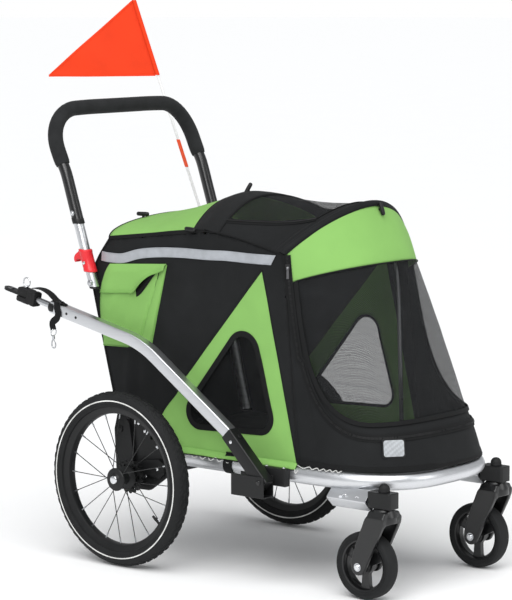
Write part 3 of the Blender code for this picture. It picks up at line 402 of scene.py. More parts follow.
def round_off(corners, radii, steps=8):
    """Polygon with each corner replaced by an arc of about the radius given."""
    points = []
    count = len(corners)
    for k, radius in enumerate(radii):
        here = Vector(corners[k])
        before = (Vector(corners[k - 1]) - here).normalized()
        after = (Vector(corners[(k + 1) % count]) - here).normalized()
        half = 0.5 * math.acos(max(-1.0, min(1.0, before.dot(after))))
        reach = radius / math.tan(half)
        start = here + before * reach
        end = here + after * reach
        centre = here + (before + after).normalized() * (radius / math.sin(half))
        first = start - centre
        sweep = math.pi - 2.0 * half
        way = 1.0 if first.cross(end - centre) > 0.0 else -1.0
        for s in range(steps + 1):
            turn = way * sweep * s / steps
            cosine, sine = math.cos(turn), math.sin(turn)
            points.append((centre.x + first.x * cosine - first.y * sine,
                           centre.y + first.x * sine + first.y * cosine))
    return points


def smooth_line(points, spacing=0.008, closed=False):
    """Catmull-Rom curve through the points, sampled about every spacing."""
    spots = [Vector(p) for p in points]
    count = len(spots)
    result = []
    spans = count if closed else count - 1
    for k in range(spans):
        if closed:
            a, b, c, d = (spots[(k + i) % count] for i in (-1, 0, 1, 2))
        else:
            b, c = spots[k], spots[k + 1]
            a = spots[k - 1] if k else b + (b - c)
            d = spots[k + 2] if k + 2 < count else c + (c - b)
        steps = max(1, round((c - b).length / spacing))
        for s in range(steps):
            t = s / steps
            result.append(0.5 * (2.0 * b + (c - a) * t + (2.0 * a - 5.0 * b + 4.0 * c - d) * t * t
                                 + (3.0 * b - a - 3.0 * c + d) * t ** 3))
    if not closed:
        result.append(spots[-1])
    return result


def frames(path, side=None, closed=False):
    """(across, up) at each point of a path, carried along without twist or held to a side."""
    count = len(path)
    result = []
    across = None
    for k in range(count):
        before = path[k - 1] if k or closed else path[k]
        after = path[(k + 1) % count] if k + 1 < count or closed else path[k]
        along = (after - before).normalized()
        if side is not None:
            across = side - along * side.dot(along)
        elif across is None:
            across = along.orthogonal()
        else:
            across = across - along * across.dot(along)
        across = across.normalized()
        result.append((across, along.cross(across)))
    return result


def skin(rings, size, closed=False, caps=True):
    """Faces over rings of as many points, with an end cap on an open run."""
    faces = []
    for r in range(rings if closed else rings - 1):
        here, after = r * size, ((r + 1) % rings) * size
        for k in range(size):
            other = (k + 1) % size
            faces.append((here + k, here + other, after + other, after + k))
    if caps and not closed:
        faces.append(tuple(reversed(range(size))))
        faces.append(tuple(range((rings - 1) * size, rings * size)))
    return faces


def tube(path, section, side=None, closed=False, scale=None, caps=True):
    """Sweep a section along a path."""
    spots = [Vector(p) for p in path]
    points = []
    for k, (spot, (across, up)) in enumerate(zip(spots, frames(spots, side, closed))):
        size = scale[k] if scale else 1.0
        points += [spot + across * (a * size) + up * (b * size) for a, b in section]
    return points, skin(len(spots), len(section), closed, caps)


def disc(radius, low, high):
    """Profile of a plain disc between two heights."""
    return washer(0.0, radius, low, high)


def mirrored(half):
    """Profile that is the same on both sides of its middle, from its first half."""
    return half + [(radius, -along) for radius, along in reversed(half)]


def washer(inner, outer, low, high):
    """Profile of a plain ring between two heights."""
    return [(inner, low), (outer, low), (outer, high), (inner, high)]


def turned(profile, centre, axis=X_AXIS, sides=48):
    """Turn a closed (radius, along) profile about an axis."""
    one = axis.orthogonal().normalized()
    two = axis.cross(one)
    if abs(axis.x) > 0.9:
        one, two = Y_AXIS, Z_AXIS
    if abs(axis.z) > 0.9:
        one, two = X_AXIS, Y_AXIS
    points = []
    rings = []
    for radius, along in profile:
        if radius < 1e-6:
            rings.append([len(points)])
            points.append(Vector(centre) + axis * along)
            continue
        rings.append(list(range(len(points), len(points) + sides)))
        for k in range(sides):
            turn = 2.0 * math.pi * k / sides
            points.append(Vector(centre) + axis * along + one * (radius * math.cos(turn))
                          + two * (radius * math.sin(turn)))
    faces = []
    for first, second in zip(rings, rings[1:] + rings[:1]):
        for k in range(sides):
            after = (k + 1) % sides
            if len(first) > 1 and len(second) > 1:
                faces.append((first[k], first[after], second[after], second[k]))
            elif len(first) > 1:
                faces.append((first[k], first[after], second[0]))
            elif len(second) > 1:
                faces.append((first[0], second[after], second[k]))
    return points, faces


def slab(outline, low, high, axis="X", holes=()):
    """Extrude an outline between two heights along an axis."""
    loops = [list(outline)] + [list(h) for h in holes]
    flat = [p for loop in loops for p in loop]
    count = len(flat)

    def lift(p, height):
        return {"X": (height, p[0], p[1]), "Y": (p[0], height, p[1]), "Z": (p[0], p[1], height)}[axis]

    points = [Vector(lift(p, h)) for h in (low, high) for p in flat]
    if holes:
        cap = tessellate_polygon([[Vector((a, b, 0.0)) for a, b in loop] for loop in loops])
    else:
        cap = [tuple(range(count))]
    faces = [tuple(f) for f in cap] + [tuple(i + count for i in reversed(f)) for f in cap]
    start = 0
    for loop in loops:
        for k in range(len(loop)):
            a = start + k
            b = start + (k + 1) % len(loop)
            faces.append((a, b, b + count, a + count))
        start += len(loop)
    return points, faces


def block(low, high):
    """Box between two corners."""
    (a, b, c), (d, e, f) = low, high
    return slab([(a, b), (d, b), (d, e), (a, e)], c, f, "Z")


def bolt(centre, axis, radius=0.0045, height=0.003, sides=6):
    """Domed screw or rivet head standing on a face."""
    profile = [(0.0, 0.0), (radius, 0.0), (radius, height * 0.45), (radius * 0.86, height * 0.8),
               (radius * 0.5, height), (0.0, height)]
    return turned(profile, centre, Vector(axis).normalized(), sides if sides > 6 else 12)


def grid(rows):
    """Quads over rows of points."""
    points = [p for row in rows for p in row]
    wide = len(rows[0])
    faces = []
    for r in range(len(rows) - 1):
        for k in range(wide - 1):
            a = r * wide + k
            faces.append((a, a + 1, a + 1 + wide, a + wide))
    return points, faces


def ring(centre, normal, radius, wire, around=28, sides=10):
    """Closed wire ring."""
    normal = Vector(normal).normalized()
    one = normal.orthogonal().normalized()
    two = normal.cross(one)
    path = []
    for k in range(around):
        turn = 2.0 * math.pi * k / around
        path.append(Vector(centre) + one * (radius * math.cos(turn)) + two * (radius * math.sin(turn)))
    return tube(path, circle(wire, sides), side=normal, closed=True)


STITCH_LONG = 0.0032
STITCH_GAP = 0.0016
THREAD_R = 0.00035


def stitches(piece, path, normal, material):
    """Thread stitches lying along a seam."""
    spots = [Vector(p) for p in path]
    run = 0.0
    marks = [0.0]
    for a, b in zip(spots, spots[1:]):
        run += (b - a).length
        marks.append(run)

    def at(distance):
        for k in range(len(marks) - 1):
            if distance <= marks[k + 1]:
                share = (distance - marks[k]) / max(marks[k + 1] - marks[k], 1e-9)
                return spots[k].lerp(spots[k + 1], share)
        return spots[-1]

    start = 0.0
    while start + STITCH_LONG < run:
        a = at(start)
        b = at(start + STITCH_LONG)
        piece.wire([a, a.lerp(b, 0.5) + Vector(normal) * THREAD_R, b], THREAD_R, 5, material)
        start += STITCH_LONG + STITCH_GAP


# ------------------------------------------------------------------ drawing dimensions, as the CAD has them

CABIN_HALF = 0.2215
WALL_BOTTOM = 0.2715
BOTTOM_Y = -0.452
NOSE_REACH = 0.262
HOOP_POWER = 2.9
FRONT_BOW = ((-0.412, 0.7335), (-0.483, 0.831), 0.88)
MID_BOW = ((-0.187, 0.77), (-0.127, 0.836), 0.88)
REAR_BOW = ((0.104, 0.735), (0.098, 0.781), 0.42)
PANEL_EDGE = 0.145
PANEL_MIDDLE = 0.225
DOOR_BOTTOM = 0.815
DOOR_HALF = 0.915
BAND_HALF = 0.037

WHEEL_R = 0.2
WHEEL_X = 0.303
CASTER_R = 0.0738
CASTER_X = 0.208
CASTER_AXLE_Y = -0.634
SWIVEL_Y = -0.679
BLOCK_TOP = 0.2385
BLOCK_BOTTOM = 0.2035
RAIL_R = 0.0193
RAIL_X = 0.2165
RAIL_Z = 0.2516
GUSSET_INNER = 0.2362
UPRIGHT_X = 0.2055
FOLD_PIVOT = (0.055, 0.3)
HANDLE_PIVOT = (0.1405, 0.632)
HANDLE_X = 0.2385
HANDLE_LEAN = math.radians(18.5)
TOP_BAR_Z = 1.025
TOP_BAR_Y = 0.277
BEND_R = 0.09
ARM_X = -0.272
ARM_PIVOT = (-0.396, 0.236)
ARM_MOUTH = (-0.2985, 0.334)
ARM_BEND = (-0.043, 0.5106)
ARM_BEND_R = 0.25
ARM_END = (0.237, 0.572)
POLE_X = 0.264
POLE_FOOT = (0.056, 0.302)
POLE_TOP = (0.47, 1.274)
SIDES = ((-1, "l"), (1, "r"))


# ------------------------------------------------------------------ cabin: surfaces

def arch_point(part, bow):
    """Point of a roof bow; part runs from -1 at the -X foot to 1 at the +X foot."""
    foot, middle, quickness = bow
    level = max(math.cos(0.5 * math.pi * part), 0.0)
    return Vector((CABIN_HALF * part, foot[0] + (middle[0] - foot[0]) * level,
                   foot[1] + (middle[1] - foot[1]) * level ** quickness))


def front_point(part, down):
    """Point of the front surface; down runs from 0 at the bow to 1 at the floor."""
    foot, middle, quickness = FRONT_BOW
    turn = 0.5 * math.pi * part
    level = max(math.cos(turn), 0.0)
    boxy = math.copysign(abs(math.sin(turn)) ** (2.0 / HOOP_POWER), part)
    blend = math.sqrt(down)
    ends = foot[0] + (BOTTOM_Y - foot[0]) * down
    bulge = (foot[0] - middle[0]) * (1.0 - down) + NOSE_REACH * down
    power = 1.0 + (2.0 / HOOP_POWER - 1.0) * blend
    rise = (middle[1] - foot[1]) * (1.0 - down) * level ** quickness
    return Vector((CABIN_HALF * (part + (boxy - part) * blend), ends - bulge * level ** power,
                   foot[1] + (WALL_BOTTOM - foot[1]) * down + rise))


def front_out(part, down):
    """Outward direction of the front surface."""
    step = 0.01
    low, high = max(part - step, -1.0), min(part + step, 1.0)
    top, bottom = max(down - step, 0.0), min(down + step, 1.0)
    across = front_point(high, down) - front_point(low, down)
    slope = front_point(part, bottom) - front_point(part, top)
    out = across.cross(slope).normalized()
    return -out if out.dot(front_point(part, down) - Vector((0.0, -0.2, 0.5))) < 0.0 else out


def panel_line(part):
    """Lower edge of the green panel, as a share of the way down the front."""
    return PANEL_EDGE + (PANEL_MIDDLE - PANEL_EDGE) * (1.0 - part * part)


def door_line(part):
    """Lower edge of the door's net, as a share of the way down the front."""
    across = min(abs(part) / DOOR_HALF, 1.0)
    return panel_line(part) + (DOOR_BOTTOM - panel_line(part)) * (1.0 - across ** 7) ** (1.0 / 3.0)


def mix_bows(one, two, share):
    """Bow part of the way from one bow to another."""
    foot, middle = (tuple(a + (b - a) * share for a, b in zip(p, q)) for p, q in zip(one[:2], two[:2]))
    return foot, middle, one[2] + (two[2] - one[2]) * share


def spaced(count, limit=1.0):
    """Values from -limit to limit, closer together near the ends."""
    return [limit * math.sin(0.5 * math.pi * (2.0 * k / count - 1.0)) for k in range(count + 1)]


def crease(spot, seed):
    """Height of the cloth's creases at a point, about -1 to 1."""
    here = Vector(spot)
    bend = noise.noise(here * 3.1 + Vector((seed, 0.0, 0.0)))
    long_folds = noise.noise(Vector((here.x * 9.0, here.y * 9.0 + bend * 2.0, here.z * 3.0 + seed)))
    small = noise.noise(here * 26.0 + Vector((0.0, seed, bend * 3.0)))
    ridge = 1.0 - 2.0 * abs(noise.noise(here * 7.0 + Vector((bend, seed, 0.0))))
    return 0.55 * long_folds + 0.18 * small + 0.45 * (ridge - 0.6)


def dressed(rows, amount, seed, puff=0.0, centre=(0.0, -0.18, 0.52), held=0.12):
    """Pull a taut grid into cloth: held at its seams, creased and puffed between them."""
    tall, wide = len(rows), len(rows[0])
    middle = Vector(centre)
    result = []
    for r, row in enumerate(rows):
        line = []
        for k, spot in enumerate(row):
            up = rows[min(r + 1, tall - 1)][k] - rows[max(r - 1, 0)][k]
            across = row[min(k + 1, wide - 1)] - row[max(k - 1, 0)]
            out = up.cross(across)
            out = out.normalized() if out.length > 1e-12 else (spot - middle).normalized()
            if out.dot(spot - middle) < 0.0:
                out = -out
            u = min(r, tall - 1 - r) / (tall - 1)
            v = min(k, wide - 1 - k) / (wide - 1)
            free = min(1.0, u / held) * min(1.0, v / held)
            free = free * free * (3.0 - 2.0 * free)
            swell = math.sin(math.pi * r / (tall - 1)) * math.sin(math.pi * k / (wide - 1))
            line.append(spot + out * (amount * crease(spot, seed) * free + puff * swell))
        result.append(line)
    return result


def ribbon(path, outs, section, closed=False):
    """Sweep a (across, out) section along a path that lies on a surface."""
    count = len(path)
    points = []
    for k in range(count):
        before = path[k - 1] if k or closed else path[k]
        after = path[(k + 1) % count] if k + 1 < count or closed else path[k]
        along = (after - before).normalized()
        out = Vector(outs[k])
        out = (out - along * out.dot(along)).normalized()
        across = along.cross(out)
        points += [path[k] + across * a + out * b for a, b in section]
    return points, skin(count, len(section), closed)


TAPE_SECTION = [(-0.0085, 0.0), (-0.0085, 0.001), (-0.004, 0.0016), (0.004, 0.0016), (0.0085, 0.001),
                (0.0085, 0.0)]


def flat_section(half, thick):
    """Section of a flat band with eased edges."""
    edge = min(0.0006, 0.4 * thick)
    return [(-half, 0.0), (-half, thick - edge), (-half + edge, thick), (half - edge, thick),
            (half, thick - edge), (half, 0.0)]


def inside_of(point, loop):
    """True if a 2-D point lies inside a loop."""
    x, y = point
    inside = False
    for (ax, ay), (bx, by) in zip(loop, loop[1:] + loop[:1]):
        if (ay > y) != (by > y) and x < (bx - ax) * (y - ay) / (by - ay) + ax:
            inside = not inside
    return inside


def edge_distance(point, loop):
    """Distance from a 2-D point to a loop."""
    here = Vector(point)
    best = 1.0
    for a, b in zip(loop, loop[1:] + loop[:1]):
        a, b = Vector(a), Vector(b)
        run = b - a
        share = max(0.0, min(1.0, (here - a).dot(run) / max(run.length_squared, 1e-12)))
        best = min(best, (here - a - run * share).length)
    return best


def densify(loop, spacing):
    """The same loop with points no further apart than the spacing."""
    points = []
    for a, b in zip(loop, loop[1:] + loop[:1]):
        a, b = Vector(a), Vector(b)
        steps = max(1, round((b - a).length / spacing))
        points += [tuple(a.lerp(b, k / steps)) for k in range(steps)]
    return points


def panelled(loops, spacing):
    """Triangles over the first loop's inside, with edges along all the loops."""
    points = []
    edges = []
    for loop in loops:
        dense = densify(loop, spacing)
        start = len(points)
        points += dense
        edges += [(start + k, start + (k + 1) % len(dense)) for k in range(len(dense))]
    border = loops[0]
    low = [min(p[i] for p in border) for i in (0, 1)]
    high = [max(p[i] for p in border) for i in (0, 1)]
    steps = [int((high[i] - low[i]) / spacing) for i in (0, 1)]
    for r in range(1, steps[1] + 1):
        for k in range(1, steps[0] + 1):
            spot = (low[0] + (k - 0.5 * (r % 2)) * spacing, low[1] + r * spacing * 0.98)
            if inside_of(spot, border) and min(edge_distance(spot, loop) for loop in loops) > 0.45 * spacing:
                points.append(spot)
    made = delaunay_2d_cdt([Vector(p) for p in points], edges, [], 0, 1e-6)
    spots = made[0]
    inner = [f for f in made[2] if inside_of(sum((spots[i] for i in f), Vector((0, 0))) / len(f), border)]
    return spots, inner


# ------------------------------------------------------------------ cabin: side walls

SIDE_EDGE = [(BOTTOM_Y, WALL_BOTTOM), (0.065, WALL_BOTTOM), (0.161, 0.64), (0.157, 0.658), (0.145, 0.679),
             (0.13, 0.702), (REAR_BOW[0][0], REAR_BOW[0][1]), (MID_BOW[0][0], MID_BOW[0][1]),
             (FRONT_BOW[0][0], FRONT_BOW[0][1])]
GREEN_EDGE = [(-0.3525, 0.694), (-0.129, 0.438), (-0.103, 0.399), (-0.061, 0.35), (-0.018, WALL_BOTTOM),
              (BOTTOM_Y + 0.001, WALL_BOTTOM)]
WINDOW = round_off([(-0.3148, 0.5942), (-0.0981, 0.3245), (-0.3887, 0.3357)], [0.04, 0.034, 0.032], 12)


def side_bulge(y, z, seed):
    """How far the wall stands out from its flat, held in at its edges."""
    free = min(1.0, edge_distance((y, z), SIDE_EDGE) / 0.05)
    free *= min(1.0, math.hypot((y + 0.352) / 0.115, (z - 0.487) / 0.075))     # the folded handle lies here
    window = min(1.0, edge_distance((y, z), WINDOW) / 0.03)
    rear = max(0.0, min(1.0, (y + 0.06) / 0.14)) * max(0.0, min(1.0, (0.58 - z) / 0.22))
    stray = 2.0 * noise.noise(Vector((y * 9.0, z * 5.0, seed)))
    folds = 0.005 * rear * math.sin(88.0 * (y + 0.25 * z) + stray)
    return 0.0006 + free * (0.0022 + 0.0038 * window * crease((0.0, y, z), seed) + folds * free)


def side_wall(side, suffix):
    """Side cloth with its window, seams, hem and reflective tape."""
    seed = 3.0 if side < 0 else 11.0
    flat, triangles = panelled([SIDE_EDGE, GREEN_EDGE, WINDOW], 0.0085)
    points = [Vector((side * (CABIN_HALF + side_bulge(p.x, p.y, seed)), p.x, p.y)) for p in flat]
    green, black = [], []
    for face in triangles:
        middle = sum((flat[i] for i in face), Vector((0.0, 0.0))) / len(face)
        if inside_of(middle, WINDOW):
            continue
        face = tuple(face) if side > 0 else tuple(reversed(face))
        (green if inside_of(middle, GREEN_EDGE) else black).append(face)
    cloth = Piece("wall_cloth_" + suffix)
    cloth.add(points, green, GREEN)
    cloth.faces += black
    cloth.materials.append(BLACK_CLOTH)
    cloth.paints += [1] * len(black)
    cloth.sew("black_fabric", "side_wall_" + suffix, thick=CLOTH_THICK)

    net_points = []
    net_flat, net_faces = panelled([WINDOW], 0.012)
    for p in net_flat:
        sag = min(1.0, edge_distance((p.x, p.y), WINDOW) / 0.05)
        net_points.append(Vector((side * (CABIN_HALF - 0.0008 - 0.001 * sag * sag), p.x, p.y)))
    net = Piece("window_net_" + suffix)
    net.add(net_points, [tuple(f) for f in net_faces], WINDOW_NET)
    net.sew("mesh_fabric", "window_mesh_" + suffix)

    def at(y, z, lift=0.0):
        return Vector((side * (CABIN_HALF + side_bulge(y, z, seed) + lift), y, z))

    trim = Piece("wall_trim_" + suffix)
    out = Vector((side, 0.0, 0.0))
    border = [at(*p) for p in densify(WINDOW, 0.006)]
    trim.add(*ribbon(border, [out] * len(border), flat_section(0.0068, 0.0018), True), BINDING)
    for first, last in ((0, 1), (4, 5)):
        a, b = Vector(GREEN_EDGE[first]), Vector(GREEN_EDGE[last])
        seam = [at(*a.lerp(b, k / 40.0), 0.0002) for k in range(41)]
        if first == 0:
            seam = [at(*p, 0.0002) for p in smooth_line([Vector(q) for q in GREEN_EDGE[:5]], 0.008)]
            stitches(trim, [p + Vector((0, 0.004, 0.003)) for p in seam], out, BINDING)
        trim.wire(seam, 0.0011, 8, BINDING)
    a, b = Vector(GREEN_EDGE[0]), Vector(GREEN_EDGE[5])
    front_seam = [at(*a.lerp(b, k / 50.0), 0.0002) for k in range(51)]
    trim.wire(front_seam, 0.0011, 8, BINDING)
    rear = smooth_line([at(y, z) for y, z in SIDE_EDGE[1:7]], 0.008)
    trim.wire(rear, 0.0026, 10, BINDING)
    top = smooth_line([at(y, z, 0.0004) for y, z in SIDE_EDGE[6:]], 0.008)
    trim.wire(top, 0.0022, 10, BINDING)
    trim.sew("black_fabric")

    flap = Piece("wall_hem_" + suffix)
    drop = [(0.001, 0.2775), (0.0038, 0.2735), (0.0076, 0.2705), (0.0106, 0.267), (0.0122, 0.263)]
    for start, end, cloth_used in ((BOTTOM_Y, -0.018, GREEN), (-0.018, 0.056, BLACK_CLOTH)):
        rows = []
        for off, z in drop:
            line = []
            for k in range(61):
                y = start + (end - start) * k / 60.0
                wave = 0.0012 * (z < 0.272) * noise.noise(Vector((y * 28.0, z * 40.0, seed)))
                line.append(Vector((side * (CABIN_HALF + off + 0.5 * wave), y, z + wave)))
            rows.append(line)
        flap.add(*grid(rows), cloth_used)
        flap.wire(rows[-1], 0.0011, 6, BINDING)
    flap.sew("green_fabric", thick=0.0011)

    tape = Piece("reflective_strip_" + suffix)
    middle = smooth_line([at(y, z, 0.0007) for y, z in
                          ((0.128, 0.6935), (0.1, 0.6915), (0.06, 0.693), (0.01, 0.706), (-0.05, 0.7135),
                           (-0.12, 0.717), (-0.19, 0.7172), (-0.25, 0.719), (-0.32, 0.718),
                           (-0.384, 0.7185))], 0.007)
    section = flat_section(0.0112, 0.0009)
    points, faces = ribbon(middle, [out] * len(middle), section)
    for k, point in enumerate(points):     # the tape puckers where it is sewn to the cloth
        point.x += side * 0.0011 * noise.noise(Vector((seed, point.y * 46.0 + point.z * 9.0, 0.0)))
    for k in range(len(section)):     # its front end is cut on the slant of the seam
        points[-1 - k].y -= 0.62 * (points[-1 - k].z - 0.7185)
    tape.add(points, faces, TAPE)
    for offset in (-0.0095, 0.0095):
        line = [p + Vector((side * 0.0011, 0.0, offset)) for p in middle[1:-2]]
        stitches(tape, line, out, TAPE)
    tape.sew("reflector")


# ------------------------------------------------------------------ cabin: front, roof and rear

def front_rows(columns, low, high, steps):
    """Grid over the front surface between two lines, held apart by a seam."""
    seam = 0.0005
    rows = []
    for r in range(steps + 1):
        share = r / steps
        line = []
        for s in columns:
            room = high(s) - low(s) - 2.0 * seam
            line.append(front_point(s, low(s) + seam + room * share))
        rows.append(line)
    return rows


def zipper(piece, path, outs, slider_at=None):
    """Zip tape with its coil teeth, and a slider with a pull tab."""
    piece.add(*ribbon(path, outs, TAPE_SECTION), BINDING)
    run = 0.0
    for k in range(len(path) - 1):
        step = path[k + 1] - path[k]
        run += step.length
        along = step.normalized()
        out = (outs[k] - along * outs[k].dot(along)).normalized()
        across = along.cross(out)
        while run > 0.0:
            run -= 0.0026
            spot = path[k] + step * max(0.0, 1.0 + run / max(step.length, 1e-9)) + out * 0.0022
            wide, deep, tall = across * 0.0026, along * 0.0008, out * 0.0008
            corners = [spot + wide * a + deep * b + tall * c for c in (-1, 1)
                       for a, b in ((-1, -1), (1, -1), (1, 1), (-1, 1))]
            piece.add(corners, BOX_FACES, BLACK_PLASTIC)
    if slider_at is not None:
        spot, out = path[slider_at], outs[slider_at]
        along = (path[slider_at + 1] - path[slider_at - 1]).normalized()
        across = along.cross(out).normalized()
        piece.add(*oriented_slab(rounded_rect(0.005, 0.007, 0.003), spot + out * 0.0022, across, along,
                                 0.0034), BLACK_PLASTIC)
        hang = [spot + out * 0.006, spot + out * 0.008 + Vector((0, 0, -0.006)),
                spot + out * 0.006 + Vector((0, 0, -0.026))]
        piece.add(*tube(smooth_line(hang, 0.004), rounded_rect(0.0028, 0.0009, 0.0007, 2), side=across),
                  GUNMETAL)


BOX_FACES = [(0, 3, 2, 1), (4, 5, 6, 7), (0, 1, 5, 4), (1, 2, 6, 5), (2, 3, 7, 6), (3, 0, 4, 7)]


def oriented_slab(outline, centre, across, up, thick):
    """Flat plate of a (across, up) outline standing on a point of a surface."""
    out = across.cross(up).normalized()
    if out.dot(centre - Vector((0.0, -0.2, 0.5))) < 0.0:
        out = -out
    count = len(outline)
    points = [centre + across * a + up * b + out * h for h in (0.0, thick) for a, b in outline]
    faces = [tuple(range(count)), tuple(reversed(range(count, 2 * count)))]
    faces += [(k, (k + 1) % count, (k + 1) % count + count, k + count) for k in range(count)]
    return points, faces


def cabin_front():
    """Green panel, door's net, black band and the door's zip."""
    panel = Piece("front_panel_cloth")
    rows = front_rows(spaced(64), lambda s: 0.0, panel_line, 18)
    panel.add(*grid(dressed(rows, 0.0016, 21.0, puff=0.003)), GREEN)
    panel.sew("green_fabric", "front_panel", thick=CLOTH_THICK)

    door_columns = spaced(70, DOOR_HALF)
    net = Piece("door_net")
    rows = front_rows(door_columns, panel_line, door_line, 34)
    net.add(*grid(dressed(rows, 0.0022, 5.0, puff=0.0025)), NET)
    net.sew("mesh_fabric", "front_mesh")

    edge = [DOOR_HALF + (1.0 - DOOR_HALF) * k / 8.0 for k in range(1, 9)]
    columns = [-s for s in reversed(edge)] + door_columns + edge
    band = Piece("front_band_cloth")
    rows = front_rows(columns, door_line, lambda s: 1.0, 16)
    band.add(*grid(dressed(rows, 0.0022, 33.0, puff=0.0035, held=0.2)), BLACK_CLOTH)
    band.sew("black_fabric", "front_band", thick=CLOTH_THICK)

    trim = Piece("front_trim")
    lower = [(s, door_line(s)) for s in spaced(110, DOOR_HALF)]
    upper = [(s, panel_line(s)) for s in spaced(60, DOOR_HALF)]
    for spots, half, lift in ((lower, 0.005, 0.004), (upper, 0.0016, 0.0022)):
        path = [front_point(*p) for p in spots]
        outs = [front_out(*p) for p in spots]
        trim.add(*ribbon([p + o * lift for p, o in zip(path, outs)], outs, flat_section(half, 0.0016)),
                 BINDING)
    bow = [arch_point(s, FRONT_BOW) for s in spaced(80)]
    trim.wire([p + Vector((0, 0.004, 0.001)) for p in bow], 0.0085, 14, BLACK_CLOTH)
    trim.wire([p + Vector((0, -0.0045, -0.0015)) for p in bow], 0.0018, 8, BINDING)
    for side in (-1, 1):
        seam = [front_point(side, k / 40.0) for k in range(41)]
        trim.wire(seam, 0.0022, 8, BINDING)
    hem = [front_point(s, 0.985) for s in spaced(100)]
    outs = [front_out(s, 0.985) for s in spaced(100)]
    trim.add(*ribbon([p + o * 0.0008 for p, o in zip(hem, outs)], outs, flat_section(0.0065, 0.0016)),
             BINDING)
    trim.sew("black_fabric")

    # the door's zip: down one edge, round under the net and up the other
    spots = [(-(0.98 - 0.03 * k / 26.0), 0.015 + (0.5 - 0.015) * k / 26.0) for k in range(27)]
    mirrored = [(-s, d) for s, d in reversed(spots)]
    low = []
    for s in spaced(90, 0.945):
        down = panel_line(s) + (0.868 - panel_line(s)) * (1.0 - min(abs(s) / 0.95, 1.0) ** 7) ** (1.0 / 3.0)
        if down > 0.52:
            low.append((s, down))
    loop = smooth_line([Vector(p) for p in spots + low + mirrored], 0.012)
    path = [front_point(max(-1.0, min(1.0, p.x)), p.y) for p in loop]
    outs = [front_out(max(-1.0, min(1.0, p.x)), p.y) for p in loop]
    dense, normals = resample(path, outs, 0.007)
    zips = Piece("door_zip")
    zipper(zips, [p + o * (0.0026 + 0.0032 * abs(o.y)) for p, o in zip(dense, normals)], normals,
           slider_at=6)
    zips.sew("black_plastic")


def resample(path, outs, spacing):
    """The same line with its points about a spacing apart."""
    spots = [path[0]]
    normals = [outs[0]]
    for k in range(1, len(path)):
        gap = (path[k] - spots[-1]).length
        steps = int(gap / spacing)
        if gap < 0.6 * spacing and k + 1 < len(path):
            continue
        start, first = spots[-1], normals[-1]
        for s in range(1, max(steps, 1) + 1):
            share = s / max(steps, 1)
            spots.append(start.lerp(path[k], share))
            normals.append(first.lerp(outs[k], share).normalized())
    return spots, normals


def roof_grid(one, two, start, end, steps, limits=(-1.0, 1.0), columns=60):
    """Grid over the roof between two bows."""
    rows = []
    for r in range(steps + 1):
        share = start + (end - start) * r / steps
        bow = mix_bows(one, two, share)
        low, high = (edge(share) if callable(edge) else edge for edge in limits)
        rows.append([arch_point(low + (high - low) * (0.5 + 0.5 * s), bow) for s in spaced(columns)])
    return rows


def roof_edge(share):
    """Half width of the roof's net: widest behind, with its front corners rounded."""
    along = min(max((share - 0.164) / 0.721, 0.0), 1.0)
    return 0.8 - 0.15 * along - 0.1 * along ** 6


